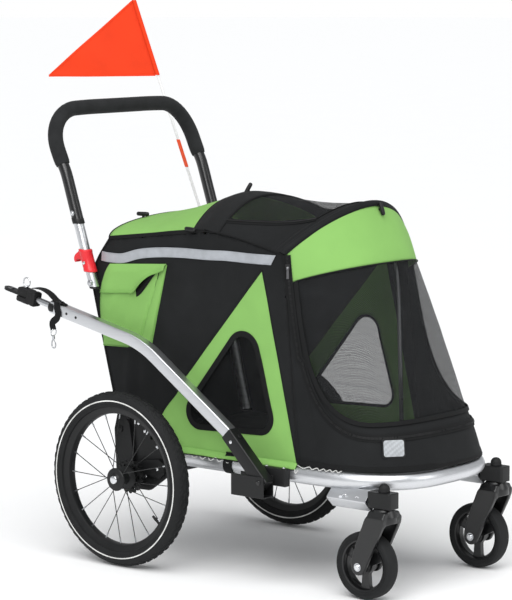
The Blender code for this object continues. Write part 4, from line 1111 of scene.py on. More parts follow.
def roof():
    """Green rear roof, black band over the middle bow, and the net in its border."""
    back = BAND_HALF / (REAR_BOW[0][0] - MID_BOW[0][0])
    front = BAND_HALF / (MID_BOW[0][0] - FRONT_BOW[0][0])
    rear = Piece("roof_cloth")
    rows = roof_grid(REAR_BOW, MID_BOW, 0.0, 1.0 - back, 26, columns=70)
    rear.add(*grid(dressed(rows, 0.0028, 41.0, puff=-0.004, held=0.18)), GREEN)
    rear.sew("green_fabric", "roof_rear", thick=CLOTH_THICK)

    band = Piece("roof_band_cloth")
    rows = roof_grid(REAR_BOW, MID_BOW, 1.0 - back * 1.05, 1.0, 5, columns=70)
    rows += roof_grid(MID_BOW, FRONT_BOW, front * 0.2, front * 1.05, 5, columns=70)
    lifted = []
    for r, row in enumerate(rows):
        rise = 0.005 * max(math.sin(math.pi * r / (len(rows) - 1)), 0.0) ** 0.5
        line = []
        for p in row:
            out = Vector((p.x * 1.1, 0.0, 0.3)).normalized()
            line.append(p + out * rise)
        lifted.append(line)
    band.add(*grid(lifted), BLACK_CLOTH)
    band.sew("black_fabric", "roof_band", thick=CLOTH_THICK)

    net = Piece("roof_net")
    low, high = front * 1.0, 0.885
    rows = roof_grid(MID_BOW, FRONT_BOW, low, high, 24, (lambda s: -roof_edge(s), roof_edge), 50)
    net.add(*grid(dressed(rows, 0.0012, 8.0, puff=-0.006)), ROOF_NET)
    net.sew("mesh_fabric", "roof_mesh")

    border = Piece("roof_border")
    for limits in ((-1.0, lambda s: -roof_edge(s)), (roof_edge, 1.0)):
        rows = roof_grid(MID_BOW, FRONT_BOW, front * 0.95, high, 24, limits, 14)
        border.add(*grid(dressed(rows, 0.0012, 12.0)), BLACK_CLOTH)
    rows = roof_grid(MID_BOW, FRONT_BOW, high, 1.0, 5, columns=70)
    border.add(*grid(rows), BLACK_CLOTH)
    border.sew("black_fabric", thick=CLOTH_THICK)

    trim = Piece("roof_trim")
    shares = [low + (high - low) * k / 40.0 for k in range(41)]
    for side in (-1, 1):
        path = [arch_point(side * roof_edge(s), mix_bows(MID_BOW, FRONT_BOW, s)) for s in shares]
        outs = [Vector((p.x, 0.0, 0.28)).normalized() for p in path]
        path = [p + o * 0.0016 for p, o in zip(path, outs)]
        trim.add(*ribbon(path, outs, TAPE_SECTION), BINDING)
        trim.wire([p + o * 0.0022 for p, o in zip(path, outs)], 0.0014, 8, BLACK_PLASTIC)
        eave = smooth_line([arch_point(side, bow) + Vector((0, 0, 0.0018)) for bow in (REAR_BOW, MID_BOW)],
                           0.01)
        wall = [Vector((side, 0.0, 0.0))] * len(eave)
        trim.add(*ribbon([p + Vector((side * 0.0012, 0, 0)) for p in eave], wall,
                         flat_section(0.0042, 0.0018)), BINDING)
    for share, bows in ((1.0 - back, (REAR_BOW, MID_BOW)), (front, (MID_BOW, FRONT_BOW)),
                        (high, (MID_BOW, FRONT_BOW))):
        limit = 1.0 if share < high else roof_edge(high)
        path = [arch_point(s * limit, mix_bows(*bows, share)) + Vector((0, 0, 0.0022)) for s in spaced(60)]
        trim.wire(path, 0.0016, 8, BINDING)
    rear_edge = [arch_point(s, REAR_BOW) + Vector((0, 0.001, 0.0)) for s in spaced(60)]
    trim.wire(rear_edge, 0.0024, 10, BINDING)
    trim.sew("black_fabric")


def rear_wall():
    """Rear cloth with its two webbing bands."""
    outline = smooth_line([Vector((0.0, y, z)) for y, z in SIDE_EDGE[1:7]], 0.01)
    rows = [[Vector((CABIN_HALF * s, p.y, p.z)) for s in spaced(56)] for p in outline]
    wall = Piece("rear_cloth")
    wall.add(*grid(dressed(rows, 0.004, 52.0, puff=0.002, centre=(0.0, -0.2, 0.5), held=0.1)), BLACK_CLOTH)
    wall.sew("black_fabric", "rear_wall", thick=CLOTH_THICK)
    trim = Piece("rear_trim")
    for z, y in ((0.278, 0.0668), (0.638, 0.1612)):
        path = [Vector((CABIN_HALF * s, y + 0.0016, z)) for s in spaced(50)]
        outs = [Vector((0.0, 1.0, -0.25))] * len(path)
        trim.add(*ribbon(path, outs, flat_section(0.0065, 0.0014)), BINDING)
    trim.sew("black_fabric")


# ------------------------------------------------------------------ cabin: pocket and small parts

def side_pocket():
    """Gusseted pocket on the -X wall with its flap half open."""
    face = -(CABIN_HALF + 0.003)
    left_top, right_top = Vector((0.101, 0.6745)), Vector((-0.0731, 0.686))
    left_low, right_low = Vector((0.123, 0.487)), Vector((-0.024, 0.4915))
    wide, tall = 52, 44

    def panel(u, v):
        """Flat place in the pocket's outline; its rear edge bows out below the flap."""
        spot = left_top.lerp(right_top, u).lerp(left_low.lerp(right_low, u), v)
        return spot + Vector((0.021 * (1.0 - u) ** 3 * math.sin(math.pi * min(1.0, v * 1.08) ** 0.8), 0.0))

    rows = []
    for r in range(tall + 1):
        v = r / tall
        line = []
        for k in range(wide + 1):
            u = k / wide
            spot = panel(u, v)
            rim = min(1.0, u / 0.05, (1.0 - u) / 0.03) * min(1.0, (1.0 - v) / 0.05)
            pleat = 0.0048 * math.exp(-((u - 0.9 + 0.13 * v) / 0.022) ** 2)
            depth = rim ** 0.5 * (0.003 + 0.008 * v ** 1.2 * math.sin(math.pi * min(1.0, 0.15 + 0.8 * u)))
            folds = 0.0058 * crease((0.3, spot.x * 1.3 + spot.y * 0.8, spot.y * 0.7), 61.0) * rim
            line.append(Vector((face - depth - folds + pleat * rim * v ** 0.4, spot.x, spot.y)))
        rows.append(line)
    pocket = Piece("pocket_cloth")
    pocket.add(*grid(rows), GREEN)
    pocket.sew("green_fabric", "side_pocket", thick=-0.0012)
    side_rows = rows

    rows = []
    for r in range(27):
        v = r / 26.0
        line = []
        for k in range(wide + 1):
            u = k / wide
            drop = 0.345 - 0.03 * u
            if u > 0.46:
                share = (u - 0.46) / 0.54
                ease = (3.0 * share ** 2 - 2.0 * share ** 3) ** 0.9
                drop = 0.331 - 0.285 * ease + 0.022 * math.sin(9.0 * share)
            spot = panel(u, drop * v) + Vector((0.0, 0.003 * (1.0 - v)))
            lift = 0.007 + 0.0025 * v + 0.0105 * v * v * math.exp(-((u - 0.66) / 0.12) ** 2)
            lift *= min(1.0, 0.42 + u / 0.16)
            loose = min(1.0, 4.0 * v) * min(1.0, u / 0.2)
            lift += 0.0024 * crease((0.6, spot.x * 2.0, spot.y), 71.0) * loose
            line.append(Vector((face - lift * min(1.0, 0.25 + 3.0 * v), spot.x, spot.y)))
        rows.append(line)
    flap = Piece("pocket_flap")
    flap.add(*grid(rows), GREEN)
    flap.sew("green_fabric", thick=-0.0012)

    trim = Piece("pocket_trim")
    trim.wire(rows[-1], 0.0012, 8, GREEN_TRIM)
    stitches(trim, [p + Vector((-0.0014, 0, 0.006)) for p in rows[-1]], (-1, 0, 0), GREEN_TRIM)
    stitches(trim, [p + Vector((-0.0006, 0, -0.004)) for p in rows[1]], (-1, 0, 0), GREEN_TRIM)
    for edge in (side_rows[-1], [line[-1] for line in side_rows], [line[0] for line in side_rows]):
        trim.wire(edge, 0.0011, 8, GREEN_TRIM)
    trim.sew("green_fabric")
    # Painted shadow: a black sheet in the opening under the flap, standing where the pocket's inside lies in
    # shade
    mouth = Piece("pocket_mouth_shadow")
    gap = []
    for k in range(24, 45):
        u = k / wide
        lip = rows[-1][k]
        open_share = math.sin(math.pi * (k - 24) / 20.0)
        back = face - 0.003 - 0.0016 * open_share
        deep = 0.01 + 0.017 * open_share
        gap.append([Vector((back, lip.y, lip.z + 0.01 - t * deep)) for t in (0.0, 0.5, 1.0)])
    mouth.add(*grid(gap), BINDING)
    mouth.sew("black_fabric", thick=-0.0006)


def toggle(piece, foot, out, along):
    """Cord toggle: a capsule on a short stem."""
    out, along = Vector(out).normalized(), Vector(along).normalized()
    foot = Vector(foot)
    piece.wire([foot - out * 0.002, foot + out * 0.008], 0.0032, 12, BLACK_PLASTIC)
    stations = (-1.0, -0.94, -0.8, -0.4, 0.4, 0.8, 0.94, 1.0)
    capsule = [foot + out * 0.0095 + along * (0.0155 * t) for t in stations]
    piece.wire(capsule, 0.005, 14, BLACK_PLASTIC, scale=(0.35, 0.7, 0.95, 1.0, 1.0, 0.95, 0.7, 0.35))


def roof_clips():
    """Cord toggles along the roof."""
    clips = Piece("roof_toggles")
    for side in (-1, 1):
        toggle(clips, arch_point(side * 0.52, REAR_BOW) + Vector((0, -0.004, 0.001)), (0, 0.2, 1),
               (side * 0.3, 1.0, 0))
        corner = (side * (CABIN_HALF + 0.001), MID_BOW[0][0] + BAND_HALF, MID_BOW[0][1] - 0.001)
        toggle(clips, corner, (side, 0, 0.4), (0, 1, 0.05))
    toggle(clips, arch_point(0.0, MID_BOW) + Vector((0, 0, 0.002)), (0, 0.3, 1), (0.5, -0.3, 1))
    toggle(clips, front_point(0.06, 0.022), (0, -1, 0.35), (0, 0.35, 1))
    clips.sew("black_plastic")


def lacing():
    """Elastic cord laced between the cabin's hem and the base tube."""
    for side, suffix in SIDES:
        cord = Piece("hem_lacing_" + suffix)
        for start, end in ((-0.1, -0.362), (-0.452, -0.462)):
            count = max(2, round((start - end) / 0.0125))
            spots = []
            for k in range(count + 1):
                y = start + (end - start) * k / count
                low = k % 2
                spots.append(Vector((side * (0.2366 if low else 0.2324), y, 0.257 if low else 0.264)))
            cord.wire(smooth_line(spots, 0.003), 0.0009, 8, WHITE_WEBBING)
        spots = []
        for k in range(13):
            part = side * (0.999 - 0.017 * k)
            foot, out = front_point(part, 1.0), front_out(part, 0.98)
            flat = Vector((out.x, out.y, 0.0)).normalized()
            low = k % 2
            spots.append(foot + flat * (0.0095 if low else 0.0045) + Z_AXIS * (-0.002 if low else 0.0015))
        cord.wire(smooth_line(spots, 0.003), 0.0009, 8, WHITE_WEBBING)
        cord.make("chassis")


def reflectors():
    """Framed prism reflectors on the front band."""
    for name, part in (("reflector_front", -0.4), ("reflector_side", 0.72)):
        down = 0.905
        centre = front_point(part, down)
        out = front_out(part, down)
        across = Z_AXIS.cross(out).normalized()
        slope = out.cross(across).normalized()
        up = (slope + Z_AXIS * 0.8).normalized()
        out = across.cross(up).normalized()
        if out.y > 0.0:
            out = -out
        lens = Piece(name + "_lens")
        seat = centre + out * 0.0005
        lens.add(*oriented_slab(rounded_rect(0.0262, 0.0212, 0.006), seat, across, up, 0.0065),
                 BLACK_PLASTIC)
        lens.add(*oriented_slab(rounded_rect(0.0228, 0.0178, 0.005), seat + out * 0.006, across, up, 0.0022),
                 LENS)
        for k in range(9):
            at = seat + out * 0.008 + across * (-0.0192 + 0.0048 * k)
            lens.add(*oriented_slab(rounded_rect(0.0011, 0.015, 0.0008, 2), at, across, up, 0.0006), LENS)
        for a in (-1, 1):
            lens.add(*bolt(seat + out * 0.0063 + across * (a * 0.0246), out, 0.0011, 0.0008, 12),
                     BLACK_PLASTIC)
        lens.make("chassis", [name], bevel=0.0004, fold=True)


def floor_pad():
    """Quilted pad: blown up as cloth, then pressed flat on the board."""
    low_z, high_z = 0.2775, 0.3015
    outline = round_off([(-0.172, 0.014), (-0.172, -0.552), (0.172, -0.552), (0.172, 0.014)],
                        [0.02, 0.078, 0.078, 0.02], 8)
    pad = Piece("pad_cushion")
    inset = [(x * 0.975, -0.269 + (y + 0.269) * 0.985) for x, y in outline]
    pad.add(*slab(inset, low_z + 0.006, high_z - 0.006, "Z"), PAD_CLOTH)
    obj = pad.make("chassis", ["floor_pad"], smooth=80.0)
    remesh = obj.modifiers.new("voxels", "REMESH")
    remesh.mode = "VOXEL"
    remesh.voxel_size = 0.0095
    apply_modifiers(obj)
    inflate(obj, 14, 0.008)
    for vertex in obj.data.vertices:
        tuft = 0.0
        for row in range(4):
            for column in (-0.085, 0.0, 0.085):
                gap = math.hypot(vertex.co.x - column, vertex.co.y - SHIFT + 0.47 - 0.135 * row)
                tuft = max(tuft, math.exp(-(gap / 0.02) ** 2))
        top = max(0.0, (vertex.co.z - 0.289) / 0.012)
        vertex.co.z = min(max(vertex.co.z, low_z), high_z + 0.004) - 0.007 * tuft * min(top, 1.0)
    smoothed = obj.modifiers.new("smooth", "SUBSURF")
    smoothed.levels = smoothed.render_levels = 1
    apply_modifiers(obj)
    obj.data.shade_smooth()
    piping = Piece("pad_piping")
    piping.wire([Vector((x, y, 0.2895)) for x, y in densify(outline, 0.01)], 0.0024, 8, BINDING, closed=True)
    piping.make("chassis")


def apply_modifiers(obj):
    """Bake the modifiers into the mesh."""
    evaluated = obj.evaluated_get(bpy.context.evaluated_depsgraph_get())
    mesh = bpy.data.meshes.new_from_object(evaluated)
    obj.modifiers.clear()
    obj.data = mesh


def inflate(obj, frames_run, cap):
    """Blow the piece up as cloth under pressure, moving no point further than the cap."""
    before = [v.co.copy() for v in obj.data.vertices]
    cloth = obj.modifiers.new("cloth", "CLOTH")
    cloth.settings.quality = 5
    cloth.settings.mass = 0.3
    cloth.settings.tension_stiffness = 20.0
    cloth.settings.bending_stiffness = 0.4
    cloth.settings.use_pressure = True
    cloth.settings.uniform_pressure_force = 4.0
    cloth.settings.effector_weights.gravity = 0.0
    cloth.point_cache.frame_end = frames_run
    for number in range(1, frames_run + 1):
        bpy.context.scene.frame_set(number)
    apply_modifiers(obj)
    for vertex, start in zip(obj.data.vertices, before):
        move = vertex.co - start
        if move.length > cap:
            vertex.co = start + move * (cap / move.length)
    bpy.context.scene.frame_set(1)


# ------------------------------------------------------------------ rear wheels

def tread_block(centre, turn, across, length, width, slant, top, foot):
    """One slanted tread lug standing on the tyre's crown."""
    points = []
    for radius, shrink in ((foot, 1.0), (top, 0.82)):
        for a, b in ((-1, -1), (1, -1), (1, 1), (-1, 1)):
            x = across + a * width * shrink
            drop = 0.55 * x * x / 0.0225
            angle = turn + (b * length * shrink + slant * a * width) / 0.2
            reach = radius - drop
            points.append(Vector((centre.x + x, centre.y + reach * math.cos(angle),
                                  centre.z + reach * math.sin(angle))))
    return points, BOX_FACES


def rear_wheel(side, suffix):
    """Tyre with lugs and a stripe; rim, hub, spokes, toothed disc and valve."""
    centre = Vector((side * WHEEL_X, 0.0, WHEEL_R))
    half = 0.0225
    middle = WHEEL_R - half
    profile = [(0.164, -0.012), (0.164, 0.012)]
    for degrees in range(-30, 211, 10):
        turn = math.radians(degrees)
        flat = 0.0022 * max(0.0, math.sin(turn)) ** 4
        profile.append((middle + half * math.sin(turn) - flat, half * math.cos(turn)))
    tyre = Piece("tyre_body_" + suffix)
    tyre.add(*turned(profile, centre, sides=96), TYRE)
    lugs = 56
    for k in range(lugs):
        turn = 2.0 * math.pi * k / lugs
        step = 2.0 * math.pi / lugs
        for way in (-1, 1):
            tyre.add(*tread_block(centre, turn + 0.25 * way * step, way * 0.0048, 0.0066, 0.0032, way * 0.9,
                                  WHEEL_R, 0.1965), TYRE)
            tyre.add(*tread_block(centre, turn + 0.5 * step, way * 0.0128, 0.005, 0.003, way * 1.6,
                                  WHEEL_R + 0.0004, 0.196), TYRE)
    for way in (-1, 1):
        for radius in (0.1715, 0.1735):
            tyre.add(*turned([(radius, way * 0.0206), (radius, way * 0.0219),
                              (radius + 0.0008, way * 0.0222), (radius + 0.0008, way * 0.0206)], centre,
                             sides=96), TYRE)
        stripe = [(0.1788, way * 0.0215), (0.1788, way * 0.02285), (0.1814, way * 0.02275),
                  (0.1814, way * 0.0215)]
        tyre.add(*turned(stripe, centre, sides=96), SIDE_STRIPE)
    tyre.make("wheel_" + suffix, ["rear_tyre_" + suffix], smooth=30.0)

    wheel = Piece("rear_rim_" + suffix)
    rim = mirrored([(0.1495, -0.006), (0.1515, -0.01), (0.159, -0.0138), (0.1652, -0.015),
                    (0.1652, -0.0126), (0.16, -0.011)])
    wheel.add(*turned(rim, centre, sides=96), BLACK_PAINT)
    out = side
    hub = [(0.0, 0.0235), (0.01, 0.0235), (0.0128, 0.0215), (0.015, 0.0195), (0.0245, 0.0185),
           (0.0262, 0.0168), (0.0262, 0.0145), (0.0245, 0.013), (0.016, 0.0105), (0.0145, 0.006),
           (0.0145, -0.015), (0.02, -0.0185), (0.0262, -0.0205), (0.0262, -0.0235), (0.023, -0.0255),
           (0.014, -0.029), (0.014, -0.038), (0.007, -0.038), (0.007, -0.06), (0.0, -0.06)]
    wheel.add(*turned([(r, out * a) for r, a in hub], centre, sides=40), BLACK_PAINT)
    cap = [(0.0, 0.0262), (0.006, 0.0262), (0.0088, 0.0252), (0.0098, 0.0234), (0.0, 0.0234)]
    wheel.add(*turned([(r, out * a) for r, a in cap], centre, sides=32), CHROME)
    count = 20
    for k in range(count):
        turn = 2.0 * math.pi * k / count
        outer_flange = k % 2
        offset = out * (0.0158 if outer_flange else -0.022)
        lead = math.radians(24.0 if (k // 2) % 2 else -24.0)
        foot = centre + Vector((offset, 0.0225 * math.cos(turn + lead), 0.0225 * math.sin(turn + lead)))
        tip = centre + Vector((0.0, 0.1505 * math.cos(turn), 0.1505 * math.sin(turn)))
        wheel.wire([foot, tip], 0.001, 8, BLACK_GLOSS)
        nipple = foot.lerp(tip, 0.9)
        wheel.wire([nipple, tip], 0.0018, 8, STEEL)
        wheel.add(*bolt(foot + Vector((out * (0.0016 if outer_flange else -0.0016), 0, 0)),
                        (out if outer_flange else -out, 0, 0), 0.0019, 0.0012, 10), STEEL)
    teeth = 18
    disc = []
    for k in range(teeth * 4):
        reach = 0.0385 if k % 4 in (1, 2) else 0.0345
        turn = 2.0 * math.pi * k / (teeth * 4)
        disc.append((centre.y + reach * math.cos(turn), centre.z + reach * math.sin(turn)))
    face = centre.x - out * 0.03
    low, high = sorted((face, face - out * 0.0045))
    holes = [circle(0.0052, 14, (centre.y + 0.0255 * math.cos(t), centre.z + 0.0255 * math.sin(t)))
             for t in [2.0 * math.pi * k / 6 for k in range(6)]]
    wheel.add(*slab(disc, low, high, holes=holes), BLACK_PLASTIC)
    turn = math.radians(-143.0)
    root = centre + Vector((0.0, 0.15 * math.cos(turn), 0.15 * math.sin(turn)))
    inward = (centre - root).normalized()
    wheel.wire([root, root + inward * 0.02], 0.0034, 12, RUBBER)
    wheel.wire([root + inward * 0.019, root + inward * 0.0265], 0.003, 12, BLACK_PLASTIC)
    wheel.make("wheel_" + suffix, ["rear_wheel_" + suffix], smooth=32.0)


# ------------------------------------------------------------------ casters

def caster(side, suffix):
    """Caster: tyre, wheel, fork, knob, mount block and its square receiver."""
    x = side * CASTER_X
    axle = Vector((x, CASTER_AXLE_Y, CASTER_R))
    swivel = Vector((x, SWIVEL_Y, 0.0))
    tread = mirrored([(0.0566, -0.0155), (0.06, -0.0182), (0.0655, -0.019), (0.0705, -0.0172),
                      (0.0731, -0.0125), (CASTER_R, -0.007)])
    tyre = Piece("caster_tread_" + suffix)
    tyre.add(*turned(tread, axle, sides=72), TYRE)
    for way in (-1, 1):
        tyre.add(*turned([(0.0628, way * 0.0184), (0.0628, way * 0.0195), (0.0637, way * 0.0195),
                          (0.0637, way * 0.0184)], axle, sides=72), TYRE)
    tyre.make("caster_" + suffix, ["caster_tyre_" + suffix])

    wheel = Piece("caster_wheel_" + suffix)
    holes = []
    for k in range(3):
        middle = math.radians(90.0 + 120.0 * k)
        outer = [middle + math.radians(a) for a in range(-48, 49, 8)]
        hole = [(axle.y + 0.05 * math.cos(t), axle.z + 0.05 * math.sin(t)) for t in outer]
        inner = [middle + math.radians(a) for a in range(34, -35, -17)]
        hole += [(axle.y + 0.019 * math.cos(t), axle.z + 0.019 * math.sin(t)) for t in inner]
        holes.append(round_corners_of(hole))
    wheel.add(*slab(circle(0.0535, 72, (axle.y, axle.z)), x - 0.006, x + 0.006, holes=holes), MOULDED_GLOSS)
    rim = [(0.0535, -0.015), (0.0566, -0.0165), (0.0566, 0.0165), (0.0535, 0.015), (0.0515, 0.009),
           (0.0515, -0.009)]
    wheel.add(*turned(rim, axle, sides=72), MOULDED_GLOSS)
    hub = mirrored([(0.0, -0.0225), (0.012, -0.0225), (0.0148, -0.019), (0.0155, -0.0085)])
    wheel.add(*turned(hub, axle, sides=36), MOULDED_GLOSS)
    wheel.make("caster_" + suffix, ["caster_rim_" + suffix], bevel=0.0009)

    fork = Piece("caster_fork_body_" + suffix)
    arm = [(-0.701, 0.186), (-0.678, 0.188), (-0.655, 0.186), (-0.644, 0.164), (-0.638, 0.15),
           (-0.625, 0.115), (-0.616, 0.086), (-0.6175, 0.066), (-0.626, 0.057), (-0.636, 0.0555),
           (-0.646, 0.06), (-0.656, 0.078), (-0.672, 0.112), (-0.688, 0.144), (-0.698, 0.166)]
    shape = smooth_line([Vector(p) for p in arm], 0.005, closed=True)
    for way in (-1, 1):
        low, high = sorted((x + way * 0.0236, x + way * 0.0344))
        fork.add(*slab([tuple(p) for p in shape], low, high), MOULDED_GLOSS)
    crown = [(x - 0.0344, 0.172), (x - 0.024, 0.166), (x - 0.02, 0.17), (x + 0.02, 0.17),
             (x + 0.024, 0.166), (x + 0.0344, 0.172), (x + 0.0344, 0.184), (x + 0.025, 0.198),
             (x - 0.025, 0.198), (x - 0.0344, 0.184)]
    fork.add(*slab(crown, -0.701, -0.655, "Y"), MOULDED_GLOSS)
    throat = [(0.0, 0.172), (0.03, 0.172), (0.0292, 0.186), (0.025, 0.196), (0.0232, 0.201),
              (0.0216, BLOCK_BOTTOM - 0.0002), (0.0, BLOCK_BOTTOM - 0.0002)]
    fork.add(*turned(throat, swivel, Z_AXIS, 40), MOULDED_GLOSS)
    fork.make("fork_" + suffix, ["caster_fork_" + suffix], melt=0.0016)
    bolts = Piece("caster_axle_" + suffix)
    for way in (-1, 1):
        foot = axle + Vector((way * 0.034, 0, 0))
        bolts.add(*turned(disc(0.0092, 0.0, way * 0.0012), foot, sides=28),
                  STEEL)
        bolts.add(*turned([(0.0, way * 0.001), (0.0064, way * 0.001), (0.0064, way * 0.004),
                           (0.005, way * 0.0052), (0.0, way * 0.0052)], foot, sides=6 if way > 0 else 24),
                  CHROME)
    bolts.wire([axle - X_AXIS * 0.0335, axle + X_AXIS * 0.0335], 0.004, 16, STEEL)
    bolts.make("fork_" + suffix)

    knob = Piece("caster_cap_" + suffix)
    dome = [(0.0, BLOCK_TOP + 0.0004), (0.0128, BLOCK_TOP + 0.0004), (0.0132, BLOCK_TOP + 0.0022),
            (0.0124, BLOCK_TOP + 0.0036), (0.0124, BLOCK_TOP + 0.0066)]
    dome += [(0.0124 * math.cos(math.radians(d)), BLOCK_TOP + 0.0066 + 0.0118 * math.sin(math.radians(d)))
             for d in range(12, 90, 12)]
    dome.append((0.0, BLOCK_TOP + 0.0184))
    knob.add(*turned(dome, swivel, Z_AXIS, 36), RUBBER)
    knob.make("fork_" + suffix, ["caster_knob_" + suffix], smooth=50.0)

    mount = Piece("caster_mount_" + suffix)
    outline = rounded_rect(0.018, 0.0308, 0.006)
    outline = [(x + a, -0.67625 + b) for a, b in outline]
    mount.add(*slab(outline, BLOCK_BOTTOM, BLOCK_TOP, "Z"), BLACK_PLASTIC)
    mount.make("chassis", ["caster_block_" + suffix], bevel=0.0014)

    receiver = Piece("caster_tube_" + suffix)
    level = RAIL_Z - RAIL_R - 0.0004 - 0.0172
    outer, inner = rounded_rect(0.0172, 0.0172, 0.0035), rounded_rect(0.015, 0.015, 0.0022)
    receiver.add(*hollow_tube([(x, -0.645, level), (x, -0.54, level)], outer, inner), ALUMINIUM)
    for way in (-1, 1):
        face = x + way * 0.0172
        wall = washer(0.0034, 0.0056, 0.0, way * 0.001)
        receiver.add(*turned(wall, (face, -0.619, 0.219), sides=24), CHROME)
        receiver.add(*turned(disc(0.0034, 0.0, way * 0.0004),
                             (face, -0.619, 0.219), sides=24), BLACK_PLASTIC)
    clip = [(-0.542, 0.208), (-0.562, 0.2135), (-0.576, 0.22), (-0.587, 0.226), (-0.5905, 0.2215),
            (-0.585, 0.2165), (-0.574, 0.216), (-0.56, 0.217)]
    outer_x = x + side * 0.019
    receiver.wire(smooth_line([Vector((outer_x, y, z)) for y, z in clip], 0.003), 0.0013, 8, CHROME)
    receiver.wire([(x + side * 0.017, -0.576, 0.219), (x + side * 0.0225, -0.576, 0.219)], 0.003, 16, CHROME)
    receiver.make("chassis", ["caster_receiver_" + suffix], bevel=0.0004)


def round_corners_of(loop):
    """Relax a dense loop's corners a little."""
    spots = [Vector(p) for p in densify(loop, 0.0022)]
    for _ in range(3):
        after = spots[1:] + spots[:1]
        spots = [(spots[k - 1] + 2.0 * spot + after[k]) * 0.25 for k, spot in enumerate(spots)]
    return [tuple(p) for p in spots]


def hollow_tube(path, outer, inner, side=None):
    """Open tube with walls: the outer and inner sections have as many points."""
    spots = [Vector(p) for p in path]
    outside, faces = tube(spots, outer, side, caps=False)
    inside, more = tube(spots, inner, side, caps=False)
    count, size = len(outside), len(outer)
    result = [f for f in faces] + [tuple(count + i for i in reversed(f)) for f in more]
    for ring_start in (0, count - size):
        for k in range(size):
            a, b = ring_start + k, ring_start + (k + 1) % size
            result.append((a, b, b + count, a + count))
    return outside + inside, result


# ------------------------------------------------------------------ base

def nose_curve(half, reach, steps):
    """Boxy half oval from one side of the nose to the other."""
    points = []
    for k in range(steps + 1):
        turn = math.pi * k / steps
        cosine = math.cos(turn)
        points.append((half * math.copysign(abs(cosine) ** (2.0 / HOOP_POWER), cosine),
                       reach * abs(math.sin(turn)) ** (2.0 / HOOP_POWER)))
    return points


def hoop_path(steps):
    """Centre line of the base tube: up one side, round the nose and back."""
    path = [Vector((-RAIL_X, 0.03 - 0.463 * k / 20.0, RAIL_Z)) for k in range(20)]
    path += [Vector((-a, -0.433 - b, RAIL_Z)) for a, b in nose_curve(RAIL_X, 0.269, steps)]
    path += [Vector((RAIL_X, -0.433 + 0.463 * k / 20.0, RAIL_Z)) for k in range(1, 21)]
    return path


